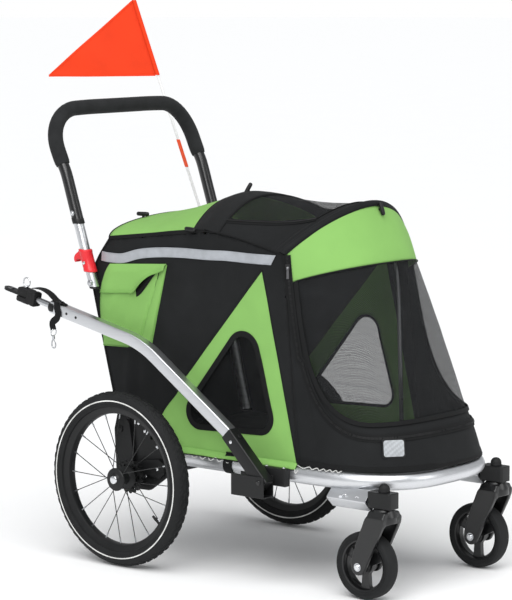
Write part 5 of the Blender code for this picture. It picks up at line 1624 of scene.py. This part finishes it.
def base():
    """Base tube, board, side plates, straps and the brake pedal."""
    hoop = Piece("base_tube")
    hoop.wire(hoop_path(72), RAIL_R, 32, ALUMINIUM, side=Z_AXIS)
    for side in (-1, 1):
        end = Vector((side * RAIL_X, 0.03, RAIL_Z))
        plug = [(0.0, -0.003), (RAIL_R - 0.0015, -0.003), (RAIL_R - 0.0002, 0.0), (RAIL_R - 0.002, 0.003),
                (0.0, 0.003)]
        hoop.add(*turned(plug, end, Y_AXIS, 32), BLACK_PLASTIC)
    hoop.make("chassis", ["base_hoop"])
    cross = Piece("cross_bar")
    inner = RAIL_X - RAIL_R
    cross.wire([(-inner, -0.3, RAIL_Z), (inner, -0.3, RAIL_Z)], 0.011, 24, ALUMINIUM)
    cross.make("chassis", ["cross_tube"])
    beam = Piece("axle_tube")
    beam.wire([(-0.2358, 0, WHEEL_R), (0.2358, 0, WHEEL_R)], 0.012, 24, BLACK_PAINT)
    beam.make("chassis", ["axle_beam"])
    board = Piece("deck_board")
    outline = [(-0.212, 0.04), (0.212, 0.04)]
    outline += [(a, -0.423 - b) for a, b in nose_curve(0.212, 0.25, 60)]
    board.add(*slab(outline, RAIL_Z + RAIL_R + 0.0005, 0.2764, "Z"), BOARD)
    board.make("chassis", ["floor_board"], bevel=0.0012)
    for side, suffix in SIDES:
        plate = Piece("side_plate_" + suffix)
        outline = round_off([(0.06, 0.352), (0.01, 0.342), (-0.045, 0.318), (-0.085, 0.282), (-0.088, 0.205),
                             (-0.035, 0.168), (0.03, 0.166), (0.068, 0.195), (0.074, 0.3)],
                            [0.008, 0.02, 0.02, 0.012, 0.016, 0.014, 0.014, 0.012, 0.02], 5)
        low, high = sorted((side * GUSSET_INNER, side * (GUSSET_INNER + 0.006)))
        holes = [circle(0.0045, 16, spot) for spot in ((-0.041, 0.29), (-0.06, 0.222), (0.03, 0.318))]
        plate.add(*slab(outline, low, high, holes=holes), BLACK_PAINT)
        face = side * (GUSSET_INNER + 0.006)
        for y, z in ((-0.001, 0.319), (-0.02, 0.303), (-0.058, 0.271), (-0.044, 0.235), (-0.022, 0.2)):
            plate.add(*bolt((face, y, z), (side, 0, 0), 0.0042, 0.0022, 14), CHROME)
        for y, z in (FOLD_PIVOT, (0.048, 0.222)):
            plate.add(*bolt((face, y, z), (side, 0, 0), 0.008, 0.004), BLACK_PLASTIC)
        low, high = sorted((face - side * 0.001, face + side * 0.018))
        boss = [(0.01 + a, 0.202 + b) for a, b in rounded_rect(0.03, 0.02, 0.008)]
        plate.add(*slab(boss, low, high), BLACK_PLASTIC)
        low, high = sorted((face - side * 0.001, face + side * 0.009))
        lever = [(0.034, 0.324), (0.028, 0.327), (0.02, 0.318), (0.01, 0.262), (0.008, 0.23), (0.052, 0.226),
                 (0.056, 0.252), (0.042, 0.262)]
        lever = round_off(lever, [0.002, 0.002, 0.004, 0.004, 0.003, 0.004, 0.004, 0.004], 4)
        plate.add(*slab(lever, low, high), BLACK_PLASTIC)
        arm = [(-0.02, 0.238), (-0.02, 0.208), (-0.07, 0.2), (-0.083, 0.21), (-0.083, 0.236),
               (-0.07, 0.244)]
        plate.add(*slab(round_off(arm, [0.004] * 6, 4), low, high), BLACK_PLASTIC)
        plate.add(*bolt((face + side * 0.009, -0.066, 0.222), (side, 0, 0), 0.0044, 0.003, 16), CHROME)
        plate.make("chassis", ["gusset_" + suffix], bevel=0.001)
    straps = Piece("rail_straps")
    y, half = -0.262, 0.0125
    for side in (-1, 1):
        centre = Vector((side * RAIL_X, y, RAIL_Z))
        band = washer(RAIL_R + 0.0003, RAIL_R + 0.002, -half, half)
        straps.add(*turned(band, centre, Y_AXIS, 32), WEBBING)
        tab = [centre + Vector((side * 0.014, 0, 0.016)), Vector((side * (CABIN_HALF + 0.003), y, 0.276)),
               Vector((side * (CABIN_HALF + 0.005), y, 0.2795))]
        straps.add(*tube(smooth_line(tab, 0.006), flat_band(half, 0.0008), side=Y_AXIS), WEBBING)
    straps.make("chassis")
    pedal = Piece("brake_bar")
    y, z = 0.048, 0.222
    pedal.wire([(-0.2358, y, z), (0.2358, y, z)], 0.006, 20, BLACK_PAINT)
    outline = [(p[0], y + 0.032 + p[1]) for p in rounded_rect(0.045, 0.03, 0.012)]
    pedal.add(*slab(outline, z - 0.006, z + 0.003, "Z"), BLACK_PLASTIC)
    for k in range(6):
        rib = [(p[0], y + 0.016 + 0.0082 * k + p[1]) for p in rounded_rect(0.037, 0.0014, 0.001, 2)]
        pedal.add(*slab(rib, z + 0.003, z + 0.0042, "Z"), BLACK_PLASTIC)
    pedal.make("brake", ["parking_brake"], bevel=0.0009)


def flat_band(half, thick):
    """Plain rectangle for webbing."""
    return [(-half, -thick), (half, -thick), (half, thick), (-half, thick)]


# ------------------------------------------------------------------ folding frame and handle

def lean_point(x, distance, offset=0.0):
    """Point at a distance up the handle's leg from its pivot, and off its line."""
    return Vector((x, HANDLE_PIVOT[0] + distance * math.sin(HANDLE_LEAN) + offset * math.cos(HANDLE_LEAN),
                   HANDLE_PIVOT[1] + distance * math.cos(HANDLE_LEAN) - offset * math.sin(HANDLE_LEAN)))


def front_bow():
    """Bow wire under the front of the roof."""
    half = 0.186
    foot = (-0.43, 0.292)
    path = [Vector((-half, *foot)), Vector((-half, -0.418, 0.6))]
    for k in range(33):
        inside = arch_point(k / 16.0 - 1.0, ((-0.404, 0.69), (-0.462, 0.812), 0.88))
        path.append(Vector((inside.x * half / CABIN_HALF, inside.y, inside.z)))
    path += [Vector((half, -0.418, 0.6)), Vector((half, *foot))]
    bow = Piece("bow_wire")
    bow.wire(smooth_line(path, 0.01), 0.005, 16, STEEL, side=Y_AXIS)
    for side in (-1, 1):
        bow.wire([(side * half, *foot), (side * 0.218, *foot)], 0.0045, 14, STEEL)
        bow.add(*turned(disc(0.008, 0.0, side * 0.003),
                        (side * (half + 0.006), *foot)), BLACK_PLASTIC)
    bow.make("bow", ["front_bow"])


def uprights():
    """Two frame tubes with their caps, pins and rivets."""
    for side, suffix in SIDES:
        x = side * UPRIGHT_X
        low = Vector((x, *FOLD_PIVOT))
        high = Vector((x, *HANDLE_PIVOT))
        along = (high - low).normalized()
        post = Piece("frame_upright_" + suffix)
        post.wire([low - along * 0.01, high + along * 0.0085], 0.0125, 28, ALUMINIUM)
        for end, way in ((low - along * 0.01, -1), (high + along * 0.0085, 1)):
            cap = [(0.0, -way * 0.004), (0.013, -way * 0.004), (0.013, way * 0.0005), (0.0105, way * 0.0025),
                   (0.0, way * 0.0028)]
            post.add(*turned(cap, end, along, 28), BLACK_PLASTIC)
        post.wire([low, (side * (GUSSET_INNER - 0.0004), *FOLD_PIVOT)], 0.005, 20, STEEL)
        post.wire([high, (side * (HANDLE_X - 0.0119), *HANDLE_PIVOT)], 0.005, 20, STEEL)
        for spot in (low, high):
            post.add(*bolt(spot - X_AXIS * (side * 0.0122), (-side, 0, 0), 0.0072, 0.003), STEEL)
        for share in (0.3, 0.62):
            spot = low.lerp(high, share)
            post.add(*bolt(spot - X_AXIS * (side * 0.0122), (-side, 0, 0), 0.004, 0.002), STEEL)
        post.make("frame_uprights", ["upright_" + suffix])


def post_and_sleeve(side, suffix):
    """Handle's lower leg, red lock sleeve and snap button."""
    x = side * HANDLE_X
    along = lean_point(x, 1.0) - lean_point(x, 0.0)
    post = Piece("handle_leg_" + suffix)
    post.wire([lean_point(x, -0.012), lean_point(x, 0.218)], 0.0115, 28, ALUMINIUM)
    cap = [(0.0, 0.003), (0.0121, 0.003), (0.0121, -0.001), (0.01, -0.0026), (0.0, -0.0028)]
    post.add(*turned(cap, lean_point(x, -0.012), along, 28), BLACK_PLASTIC)
    post.add(*bolt((x + side * 0.0105, *HANDLE_PIVOT), (side, 0, 0), 0.0068, 0.005), STEEL)
    post.add(*turned(disc(0.0088, 0.0, side * 0.001),
                     (x + side * 0.01, *HANDLE_PIVOT), sides=24), STEEL)
    post.make("handle_lower", ["handle_post_" + suffix])

    sleeve = Piece("red_sleeve_" + suffix)
    wall = [(0.012, 0.026), (0.0152, 0.026), (0.016, 0.0275), (0.016, 0.031), (0.0154, 0.0325),
            (0.0154, 0.073), (0.016, 0.0745), (0.016, 0.0785), (0.015, 0.08), (0.012, 0.08)]
    sleeve.add(*turned(wall, lean_point(x, 0.0), along, 40), RED_PLASTIC)
    hook = [(0.012, 0.056), (0.015, 0.0585), (0.0205, 0.063), (0.0265, 0.0625), (0.0295, 0.059),
            (0.0325, 0.058), (0.0345, 0.062), (0.0325, 0.07), (0.026, 0.0755), (0.018, 0.078),
            (0.012, 0.0785)]
    shape = smooth_line([Vector(p) for p in hook], 0.002, closed=True)
    spots = [lean_point(x, b, a) for a, b in shape]
    sleeve.add(*slab([(p.y, p.z) for p in spots], x - 0.0085, x + 0.0085), RED_PLASTIC)
    sleeve.add(*bolt(lean_point(x, 0.048) + X_AXIS * (side * 0.0148), (side, 0, 0), 0.0042, 0.0028, 16),
               CHROME)
    sleeve.make("sleeve_" + suffix, ["lock_sleeve_" + suffix], bevel=0.0007)

    button = Piece("spring_button_" + suffix)
    cap = [(0.0, 0.0), (0.004, 0.0), (0.004, side * 0.0035), (0.0034, side * 0.0048),
           (0.0018, side * 0.0055), (0.0, side * 0.0056)]
    button.add(*turned(cap, lean_point(x + side * 0.011, 0.166), sides=24), CHROME)
    button.make("button_" + suffix, ["snap_button_" + suffix], smooth=60.0)


def handle_path():
    """One leg's foot, up through its slight bend, round the top bar and down to the other foot."""
    knee = lean_point(HANDLE_X, 0.262)
    half = [lean_point(HANDLE_X, up) for up in (0.1427, 0.2, 0.25)]
    corner_z = TOP_BAR_Z - BEND_R

    def leg_y(z):
        share = (z - knee.z) / (TOP_BAR_Z - knee.z)
        return knee.y + (TOP_BAR_Y - knee.y) * (1.0 - (1.0 - share) ** 1.5)

    for z in (knee.z + 0.006, lean_point(0.0, 0.282).z, 0.918):
        half.append(Vector((HANDLE_X, leg_y(z), z)))
    for k in range(13):
        turn = math.radians(90.0 * k / 12.0)
        z = corner_z + BEND_R * math.sin(turn)
        half.append(Vector((HANDLE_X - BEND_R + BEND_R * math.cos(turn), leg_y(z), z)))
    half += [Vector((x, TOP_BAR_Y, TOP_BAR_Z + 0.001)) for x in (0.1, 0.05, 0.0)]
    return half + [Vector((-p.x, p.y, p.z)) for p in reversed(half[:-1])]


def handle_loop():
    """Handle tube with its collars, and the foam grip."""
    path = smooth_line(handle_path(), 0.008)
    back = Vector((0.0, 1.0, -0.3))
    loop = Piece("handle_frame")
    loop.add(*hollow_tube(path, circle(0.0135, 28), circle(0.0121, 28), side=back), BLACK_GLOSS)
    for side in (-1, 1):
        spot = lean_point(side * HANDLE_X, 0.166) + X_AXIS * (side * 0.013)
        wall = washer(0.0043, 0.0062, 0.0, side * 0.0009)
        loop.add(*turned(wall, spot, sides=24), STEEL)
        along = (path[1] - path[0]).normalized()
        foot = path[0] if side > 0 else path[-1]
        lip = [(0.0126, -0.001), (0.0143, -0.001), (0.0146, 0.001), (0.0146, 0.01), (0.0141, 0.0115),
               (0.0126, 0.0115)]
        loop.add(*turned(lip, foot, along, 28), BLACK_PLASTIC)
    loop.make("handle_upper", ["handle_tube"])

    start = lean_point(0.0, 0.282).z - 0.0001
    covered = [p for p in path if p.z > start]
    size = []
    for k in range(len(covered)):
        edge = min(k, len(covered) - 1 - k)
        size.append((0.9, 0.975, 0.995)[edge] if edge < 3 else 1.0)
    grip = Piece("foam_grip")
    grip.wire(covered, 0.0176, 32, FOAM, side=back, scale=size)
    grip.make("handle_upper", ["handle_foam"], smooth=60.0)


# ------------------------------------------------------------------ tow arm and hitch

def arm_frame():
    """Directions along and across the tow arm's end."""
    run = Vector((0.0, ARM_END[0] - ARM_BEND[0], ARM_END[1] - ARM_BEND[1])).normalized()
    return run, Vector((0.0, -run.z, run.y))


def arm_spot(along, up, x=ARM_X):
    """Point near the tow arm's end."""
    run, rise = arm_frame()
    return Vector((x, ARM_END[0], ARM_END[1])) + run * along + rise * up


def arm_path():
    """Pivot, socket mouth, direction and centre line of the tow arm."""
    pivot = Vector((ARM_X, *ARM_PIVOT))
    mouth = Vector((ARM_X, *ARM_MOUTH))
    bend = Vector((ARM_X, *ARM_BEND))
    end = Vector((ARM_X, *ARM_END))
    foot = (mouth - pivot).normalized()
    first = (bend - mouth).normalized()
    last = (end - bend).normalized()
    half = 0.5 * first.angle(last)
    centre = bend + (last - first).normalized() * (ARM_BEND_R / math.cos(half))
    start = bend - first * (ARM_BEND_R * math.tan(half)) - centre
    path = [pivot + foot * 0.04, mouth + foot * 0.004]
    for k in range(17):
        turn = 2.0 * half * k / 16.0
        path.append(centre + start * math.cos(turn) + first * (ARM_BEND_R * math.sin(turn)))
    path.append(end)
    return pivot, mouth, foot, path


def tow_arm():
    """Arm tube, its socket and the bracket on the rail."""
    pivot, mouth, foot, path = arm_path()
    run, rise = arm_frame()
    arm = Piece("arm_tube")
    arm.add(*tube(path, rounded_rect(0.0125, 0.0135, 0.0032, 5), side=X_AXIS), ALUMINIUM)
    arm.wire([arm_spot(-0.004, 0), arm_spot(0.05, 0)], 0.0075, 24, STEEL)
    collar = [(0.0, -0.012), (0.0152, -0.012), (0.0158, -0.01), (0.0158, 0.001), (0.014, 0.004),
              (0.0, 0.004)]
    arm.add(*turned(collar, arm_spot(0.0, 0.0), run, 32), BLACK_PLASTIC)
    arm.add(*bolt(arm_spot(-0.02, 0.0134), rise, 0.0062, 0.0044), CHROME)
    arm.add(*turned(disc(0.0088, 0.0, 0.001), arm_spot(-0.02, 0.0132), rise, 24),
            STEEL)
    arm.add(*bolt(arm_spot(-0.02, -0.0134), -rise, 0.0062, 0.004), STEEL)
    for along in (-0.055, -0.085):
        spot = arm_spot(along, 0.0, ARM_X - 0.0124)
        arm.add(*turned(disc(0.0032, 0.0, -0.0006), spot, sides=16), BLACK_PLASTIC)
    arm.make("tow", ["tow_arm"])

    socket = Piece("arm_socket")
    path = [pivot - foot * 0.012, mouth]
    outer = rounded_rect(0.0145, 0.016, 0.0034, 4)
    inner = rounded_rect(0.0129, 0.0139, 0.003, 4)
    socket.add(*hollow_tube(path, outer, inner, side=X_AXIS), BLACK_PAINT)
    socket.add(*tube([pivot - foot * 0.0115, pivot - foot * 0.0095], outer, side=X_AXIS), BLACK_PAINT)
    across = Vector((0.0, -foot.z, foot.y))
    for side in (-1, 1):
        socket.add(*turned(washer(0.0052, 0.0095, 0.0, side * 0.001),
                           (ARM_X + side * 0.0145, *ARM_PIVOT), sides=28), STEEL)
    spot = mouth - foot * 0.024
    socket.add(*bolt(spot - X_AXIS * 0.0144, (-1, 0, 0), 0.0044, 0.0032, 16), CHROME)
    socket.add(*turned([(0.0, 0.0), (0.0044, 0.0), (0.0052, 0.001), (0.0052, 0.0032), (0.0, 0.0046)],
                       spot + across * 0.0158, across, 24), BLACK_PLASTIC)
    socket.make("tow", ["tow_socket"], bevel=0.0006)

    bracket = Piece("arm_bracket")
    low, high = ARM_X - 0.018, ARM_X + 0.018
    channel = [(low, 0.202), (low + 0.001, 0.201), (high - 0.001, 0.201), (high, 0.202), (high, 0.249),
               (high - 0.003, 0.249), (high - 0.003, 0.204), (low + 0.003, 0.204), (low + 0.003, 0.249),
               (low, 0.249)]
    bracket.add(*slab(channel, -0.41, -0.318, "Y"), BLACK_PAINT)
    inner = -RAIL_X - RAIL_R
    clamp = [(a + 0.5 * (high + inner), 0.246 + b)
             for a, b in rounded_rect(0.5 * (inner - high) + 0.0006, 0.02, 0.004)]
    bracket.add(*slab(clamp, -0.441, -0.374, "Y"), BLACK_PLASTIC)
    bracket.wire([(low - 0.001, *ARM_PIVOT), (high + 0.001, *ARM_PIVOT)], 0.0048, 20, STEEL)
    bracket.add(*bolt((low - 0.0002, *ARM_PIVOT), (-1, 0, 0), 0.0056, 0.0026), BLACK_GLOSS)
    for y in (-0.432, -0.383):
        bracket.add(*bolt((0.5 * (high + inner), y, 0.266), (0, 0, 1), 0.0046, 0.0028), STEEL)
    bracket.make("chassis", ["tow_bracket"], bevel=0.0007)


def plate_outline():
    """Outline of the hitch plate along the arm."""
    corners = [(0.082, -0.0095), (0.082, 0.0095), (0.146, 0.011), (0.157, 0.0066), (0.157, -0.0066),
               (0.146, -0.011)]
    return round_off(corners, [0.003, 0.003, 0.006, 0.005, 0.005, 0.006], 6)


def hitch():
    """Rubber coupler, hitch plate and pull pin."""
    rise = arm_frame()[1]
    coupler = Piece("hitch_rubber")
    lift = 0.0042
    section = rounded_rect(0.0135, 0.017, 0.0045, 5)
    body = [arm_spot(a, 0.0) for a in (0.052, 0.0535, 0.062, 0.064, 0.07, 0.072, 0.078)]
    size = [0.9, 0.98, 1.0, 0.955, 0.955, 1.0, 1.0]
    coupler.add(*tube(body, section, side=X_AXIS, scale=size), RUBBER)
    for way in (-1, 1):
        cheek = [(a, way * lift if way * b < lift else b) for a, b in section]
        ends = [arm_spot(a, 0.0) for a in (0.0775, 0.104, 0.107, 0.108)]
        points = []
        for spot, shrink in zip(ends, (1.0, 1.0, 0.96, 0.9)):
            points += [spot + X_AXIS * (a * shrink) + rise * (way * lift + (b - way * lift) * shrink)
                       for a, b in cheek]
        coupler.add(points, skin(len(ends), len(cheek)), RUBBER)
    coupler.make("coupler", ["hitch_coupler"])

    plate = Piece("dropout_plate")
    bores = [circle(0.0052, 28, (0.14, 0.0)), circle(0.0036, 20, (0.094, 0.0))]
    points, faces = slab(plate_outline(), -0.0034, 0.0034, "Z", bores)
    plate.add([arm_spot(p.x, p.z, ARM_X + p.y) for p in points], faces, BLACK_PAINT)
    wall = washer(0.0054, 0.0082, 0.0034, 0.0042)
    plate.add(*turned(wall, arm_spot(0.14, 0.0), rise, 28), STEEL)
    plate.make("plate", ["hitch_plate"], bevel=0.0005)

    pin = Piece("hitch_pin")
    pin.wire([arm_spot(0.094, -0.02), arm_spot(0.094, 0.022)], 0.003, 20, STEEL)
    pin.add(*turned([(0.0, 0.0175), (0.005, 0.0175), (0.0054, 0.0185), (0.0054, 0.021), (0.0045, 0.0225),
                     (0.0, 0.023)], arm_spot(0.094, 0.0), rise, 24), CHROME)
    pin.add(*ring(arm_spot(0.094, 0.0305), X_AXIS, 0.0105, 0.0017, 36, 12), CHROME)
    pin.make("pin", ["pull_pin"])


def straps():
    """Safety webbing on the arm's end and the snap hook that hangs from it."""
    run = arm_frame()[0]
    over = [arm_spot(-0.02, 0.015), arm_spot(-0.004, 0.0185), arm_spot(0.014, 0.0262), arm_spot(0.036, 0.03),
            arm_spot(0.056, 0.0278), arm_spot(0.066, 0.025)]
    strap = Piece("tow_strap")
    strap.add(*tube(smooth_line(over, 0.004), flat_band(0.0105, 0.001), side=X_AXIS), WEBBING)
    strap.make("tow", ["safety_strap"])

    hang = Piece("tether_webbing")
    x = ARM_X
    drop = [arm_spot(-0.02, 0.0156), arm_spot(-0.026, 0.0166), arm_spot(-0.034, 0.015)]
    side_fall = [Vector((x - 0.0148, p.y, p.z)) for p in
                 (arm_spot(-0.03, 0.009), arm_spot(-0.031, -0.006), arm_spot(-0.03, -0.018))]
    loop = [Vector((x - 0.015, 0.226, 0.536)), Vector((x - 0.0155, 0.222, 0.52))]
    band = [Vector((x - 0.0138, 0.212, 0.586)), Vector((x - 0.0142, 0.2115, 0.57)), side_fall[1],
            side_fall[2]] + loop
    hang.add(*tube(smooth_line(band, 0.004), flat_band(0.0085, 0.0009), side=run), WEBBING)
    hang.add(*tube(smooth_line([drop[0], drop[2], Vector((x - 0.014, 0.2125, 0.586))], 0.003),
                   flat_band(0.0085, 0.0009), side=run), WEBBING)
    foot = loop[-1]
    hang.add(*ring(foot - Z_AXIS * 0.006, run, 0.0085, 0.0013, 30, 10), CHROME)
    hook = [foot + Vector((0, a, b)) for a, b in ((0.0, -0.014), (0.0, -0.021), (0.0045, -0.026),
                                                  (0.006, -0.034), (0.0035, -0.041), (-0.003, -0.042),
                                                  (-0.0062, -0.0365), (-0.0058, -0.03))]
    hang.wire(smooth_line(hook, 0.003), 0.0016, 12, STEEL, side=X_AXIS)
    hang.add(*turned(disc(0.0034, -0.015, -0.0215), foot, Z_AXIS, 20), STEEL)
    hang.wire([foot + Vector((0, -0.0058, -0.03)), foot + Vector((0, 0.0002, -0.0225))], 0.001, 8, CHROME)
    hang.make("tow")


# ------------------------------------------------------------------ flag

def flutter(share, height):
    """How far the flag's cloth swings out, from the pole (0) to the tip (1)."""
    slow = 0.004 * math.sin(5.2 * share + 1.1 * height) * share * (1.0 - 0.25 * share)
    return slow + 0.0016 * math.sin(11.0 * share - 3.0 * height + 0.8) * share


def flag_and_pole():
    """Pole with its sleeves, socket, flag and hems."""
    foot = Vector((POLE_X, *POLE_FOOT))
    top = Vector((POLE_X, *POLE_TOP))
    along = (top - foot).normalized()
    pole = Piece("pole_rod")
    pole.wire([foot, top], 0.0035, 20, WHITE_ROD)
    pole.add(*turned([(0.0, -0.006), (0.0038, -0.006), (0.0044, -0.004), (0.0044, 0.0008), (0.003, 0.0014),
                      (0.0, 0.0014)], top, along, 20), WHITE_ROD)
    length = (top - foot).length
    for height, reach, paint in ((0.863, 0.072, ORANGE_ROD), (0.7, 0.03, BLACK_PLASTIC)):
        start = (height - POLE_FOOT[1]) / (POLE_TOP[1] - POLE_FOOT[1]) * length
        wall = [(0.003, start), (0.0044, start), (0.0046, start + 0.002), (0.0046, start + reach - 0.002),
                (0.0044, start + reach), (0.003, start + reach)]
        pole.add(*turned(wall, foot, along, 20), paint)
    pole.make("flag_mast", ["flag_pole"])

    socket = Piece("pole_socket")
    wall = [(0.0042, -0.006), (0.0075, -0.006), (0.0088, -0.003), (0.0088, 0.01), (0.0078, 0.014),
            (0.0078, 0.048), (0.0086, 0.052), (0.0086, 0.06), (0.0075, 0.062), (0.0042, 0.062)]
    socket.add(*turned(wall, foot, along, 28), BLACK_PLASTIC)
    socket.add(*block((GUSSET_INNER + 0.0064, 0.052, 0.308), (POLE_X - 0.005, 0.072, 0.334)), BLACK_PLASTIC)
    socket.make("chassis", ["flag_socket"], bevel=0.0006)

    hem = top - along * 0.004
    low = top - along * 0.204
    tip = low + Vector((-0.152, 0.227, -0.004))
    cloth = Piece("flag_cloth")
    across, down = 44, 32
    normal = (tip - low).cross(hem - low).normalized()
    rows = []
    for r in range(across + 1):
        share = r / across
        row = []
        for k in range(down + 1):
            rise = k / down
            edge = low.lerp(hem, rise)
            spot = edge.lerp(tip, share)
            row.append(spot + normal * flutter(share, rise))
        rows.append(row)
    points, faces = grid(rows)
    cloth.add(points, faces, ORANGE)
    flag = cloth.make("flag_mast", ["flag"], solid=0.0006, smooth=60.0)
    trim = Piece("flag_hem")
    sleeve = [(0.0037, 0.0), (0.0054, 0.0), (0.0056, 0.004), (0.0056, 0.196), (0.0054, 0.2), (0.0037, 0.2)]
    trim.add(*turned(sleeve, low, along, 24), ORANGE)
    for start, end, height in ((low, tip, 0.0), (hem, tip, 1.0)):
        path = []
        for k in range(33):
            share = k / 32.0
            path.append(start.lerp(end, 0.02 + 0.975 * share) + normal * flutter(share, height))
        trim.add(*tube(path, flat_band(0.0009, 0.0024), side=normal), ORANGE)
    trim.make("flag_mast", smooth=50.0)


# ------------------------------------------------------------------ camera, light and floor

def look(name, kind, spot, target):
    """Lamp aimed at a target."""
    data = bpy.data.lights.new(name, kind)
    lamp = bpy.data.objects.new(name, data)
    lamp.location = spot
    lamp.rotation_euler = (Vector(target) - Vector(spot)).to_track_quat("-Z", "Y").to_euler()
    bpy.context.scene.collection.objects.link(lamp)
    return data


def softbox(name, spot, target, wide, high, power):
    """Rectangular area lamp."""
    data = look(name, "AREA", spot, target)
    data.shape = "RECTANGLE"
    data.size = wide
    data.size_y = high
    data.energy = power


def studio():
    """Camera, world, lamps and the floor."""
    scene = bpy.context.scene
    scene.view_settings.view_transform = "Standard"
    data = bpy.data.cameras.new("camera")
    data.lens = 166.89
    data.sensor_width = 36.0
    camera = bpy.data.objects.new("camera", data)
    camera.location = (-4.8812, -4.2237 + SHIFT, 1.3705)
    target = Vector((0.0, -0.1479 + SHIFT, 0.5916))
    camera.rotation_euler = (target - camera.location).to_track_quat("-Z", "Y").to_euler()
    scene.collection.objects.link(camera)
    scene.camera = camera

    world = bpy.data.worlds.new("studio")
    scene.world = world
    world.use_nodes = True
    tree = world.node_tree
    seen = tree.nodes["Background"]
    seen.inputs["Color"].default_value = (1.0, 1.0, 1.0, 1.0)
    seen.inputs["Strength"].default_value = 1.0
    lighting = tree.nodes.new("ShaderNodeBackground")
    lighting.inputs["Color"].default_value = (0.96, 0.98, 1.0, 1.0)
    lighting.inputs["Strength"].default_value = 0.46
    mix = tree.nodes.new("ShaderNodeMixShader")
    tree.links.new(tree.nodes.new("ShaderNodeLightPath").outputs["Is Camera Ray"], mix.inputs[0])
    tree.links.new(lighting.outputs[0], mix.inputs[1])
    tree.links.new(seen.outputs[0], mix.inputs[2])
    tree.links.new(mix.outputs[0], tree.nodes["World Output"].inputs["Surface"])

    sun = look("overhead", "SUN", (-1.5, -1.2, 3.0), (0.0, 0.0, 0.0))
    sun.energy = 2.3
    sun.angle = math.radians(60.0)
    aim = (0.0, -0.15, 0.45)
    softbox("key", (-3.2, -1.6, 2.4), aim, 1.6, 1.6, 34.0)
    softbox("fill", (1.2, -3.6, 1.8), aim, 1.4, 1.8, 20.0)

    floor = bpy.data.meshes.new("studio_floor")
    reach = 60.0
    floor.from_pydata([(reach * math.cos(t), reach * math.sin(t), -0.0015)
                       for t in [2.0 * math.pi * k / 96 for k in range(96)]], [], [tuple(range(96))])
    ground = bpy.data.objects.new("studio_floor", floor)
    floor.materials.append(floor_paint("pale_floor", (0.98, 0.98, 0.98)))
    scene.collection.objects.link(ground)


for place, letter in SIDES:
    rear_wheel(place, letter)
    caster(place, letter)
    side_wall(place, letter)
    post_and_sleeve(place, letter)
base()
cabin_front()
roof()
rear_wall()
side_pocket()
roof_clips()
lacing()
reflectors()
floor_pad()
front_bow()
uprights()
handle_loop()
tow_arm()
hitch()
straps()
flag_and_pole()
studio()
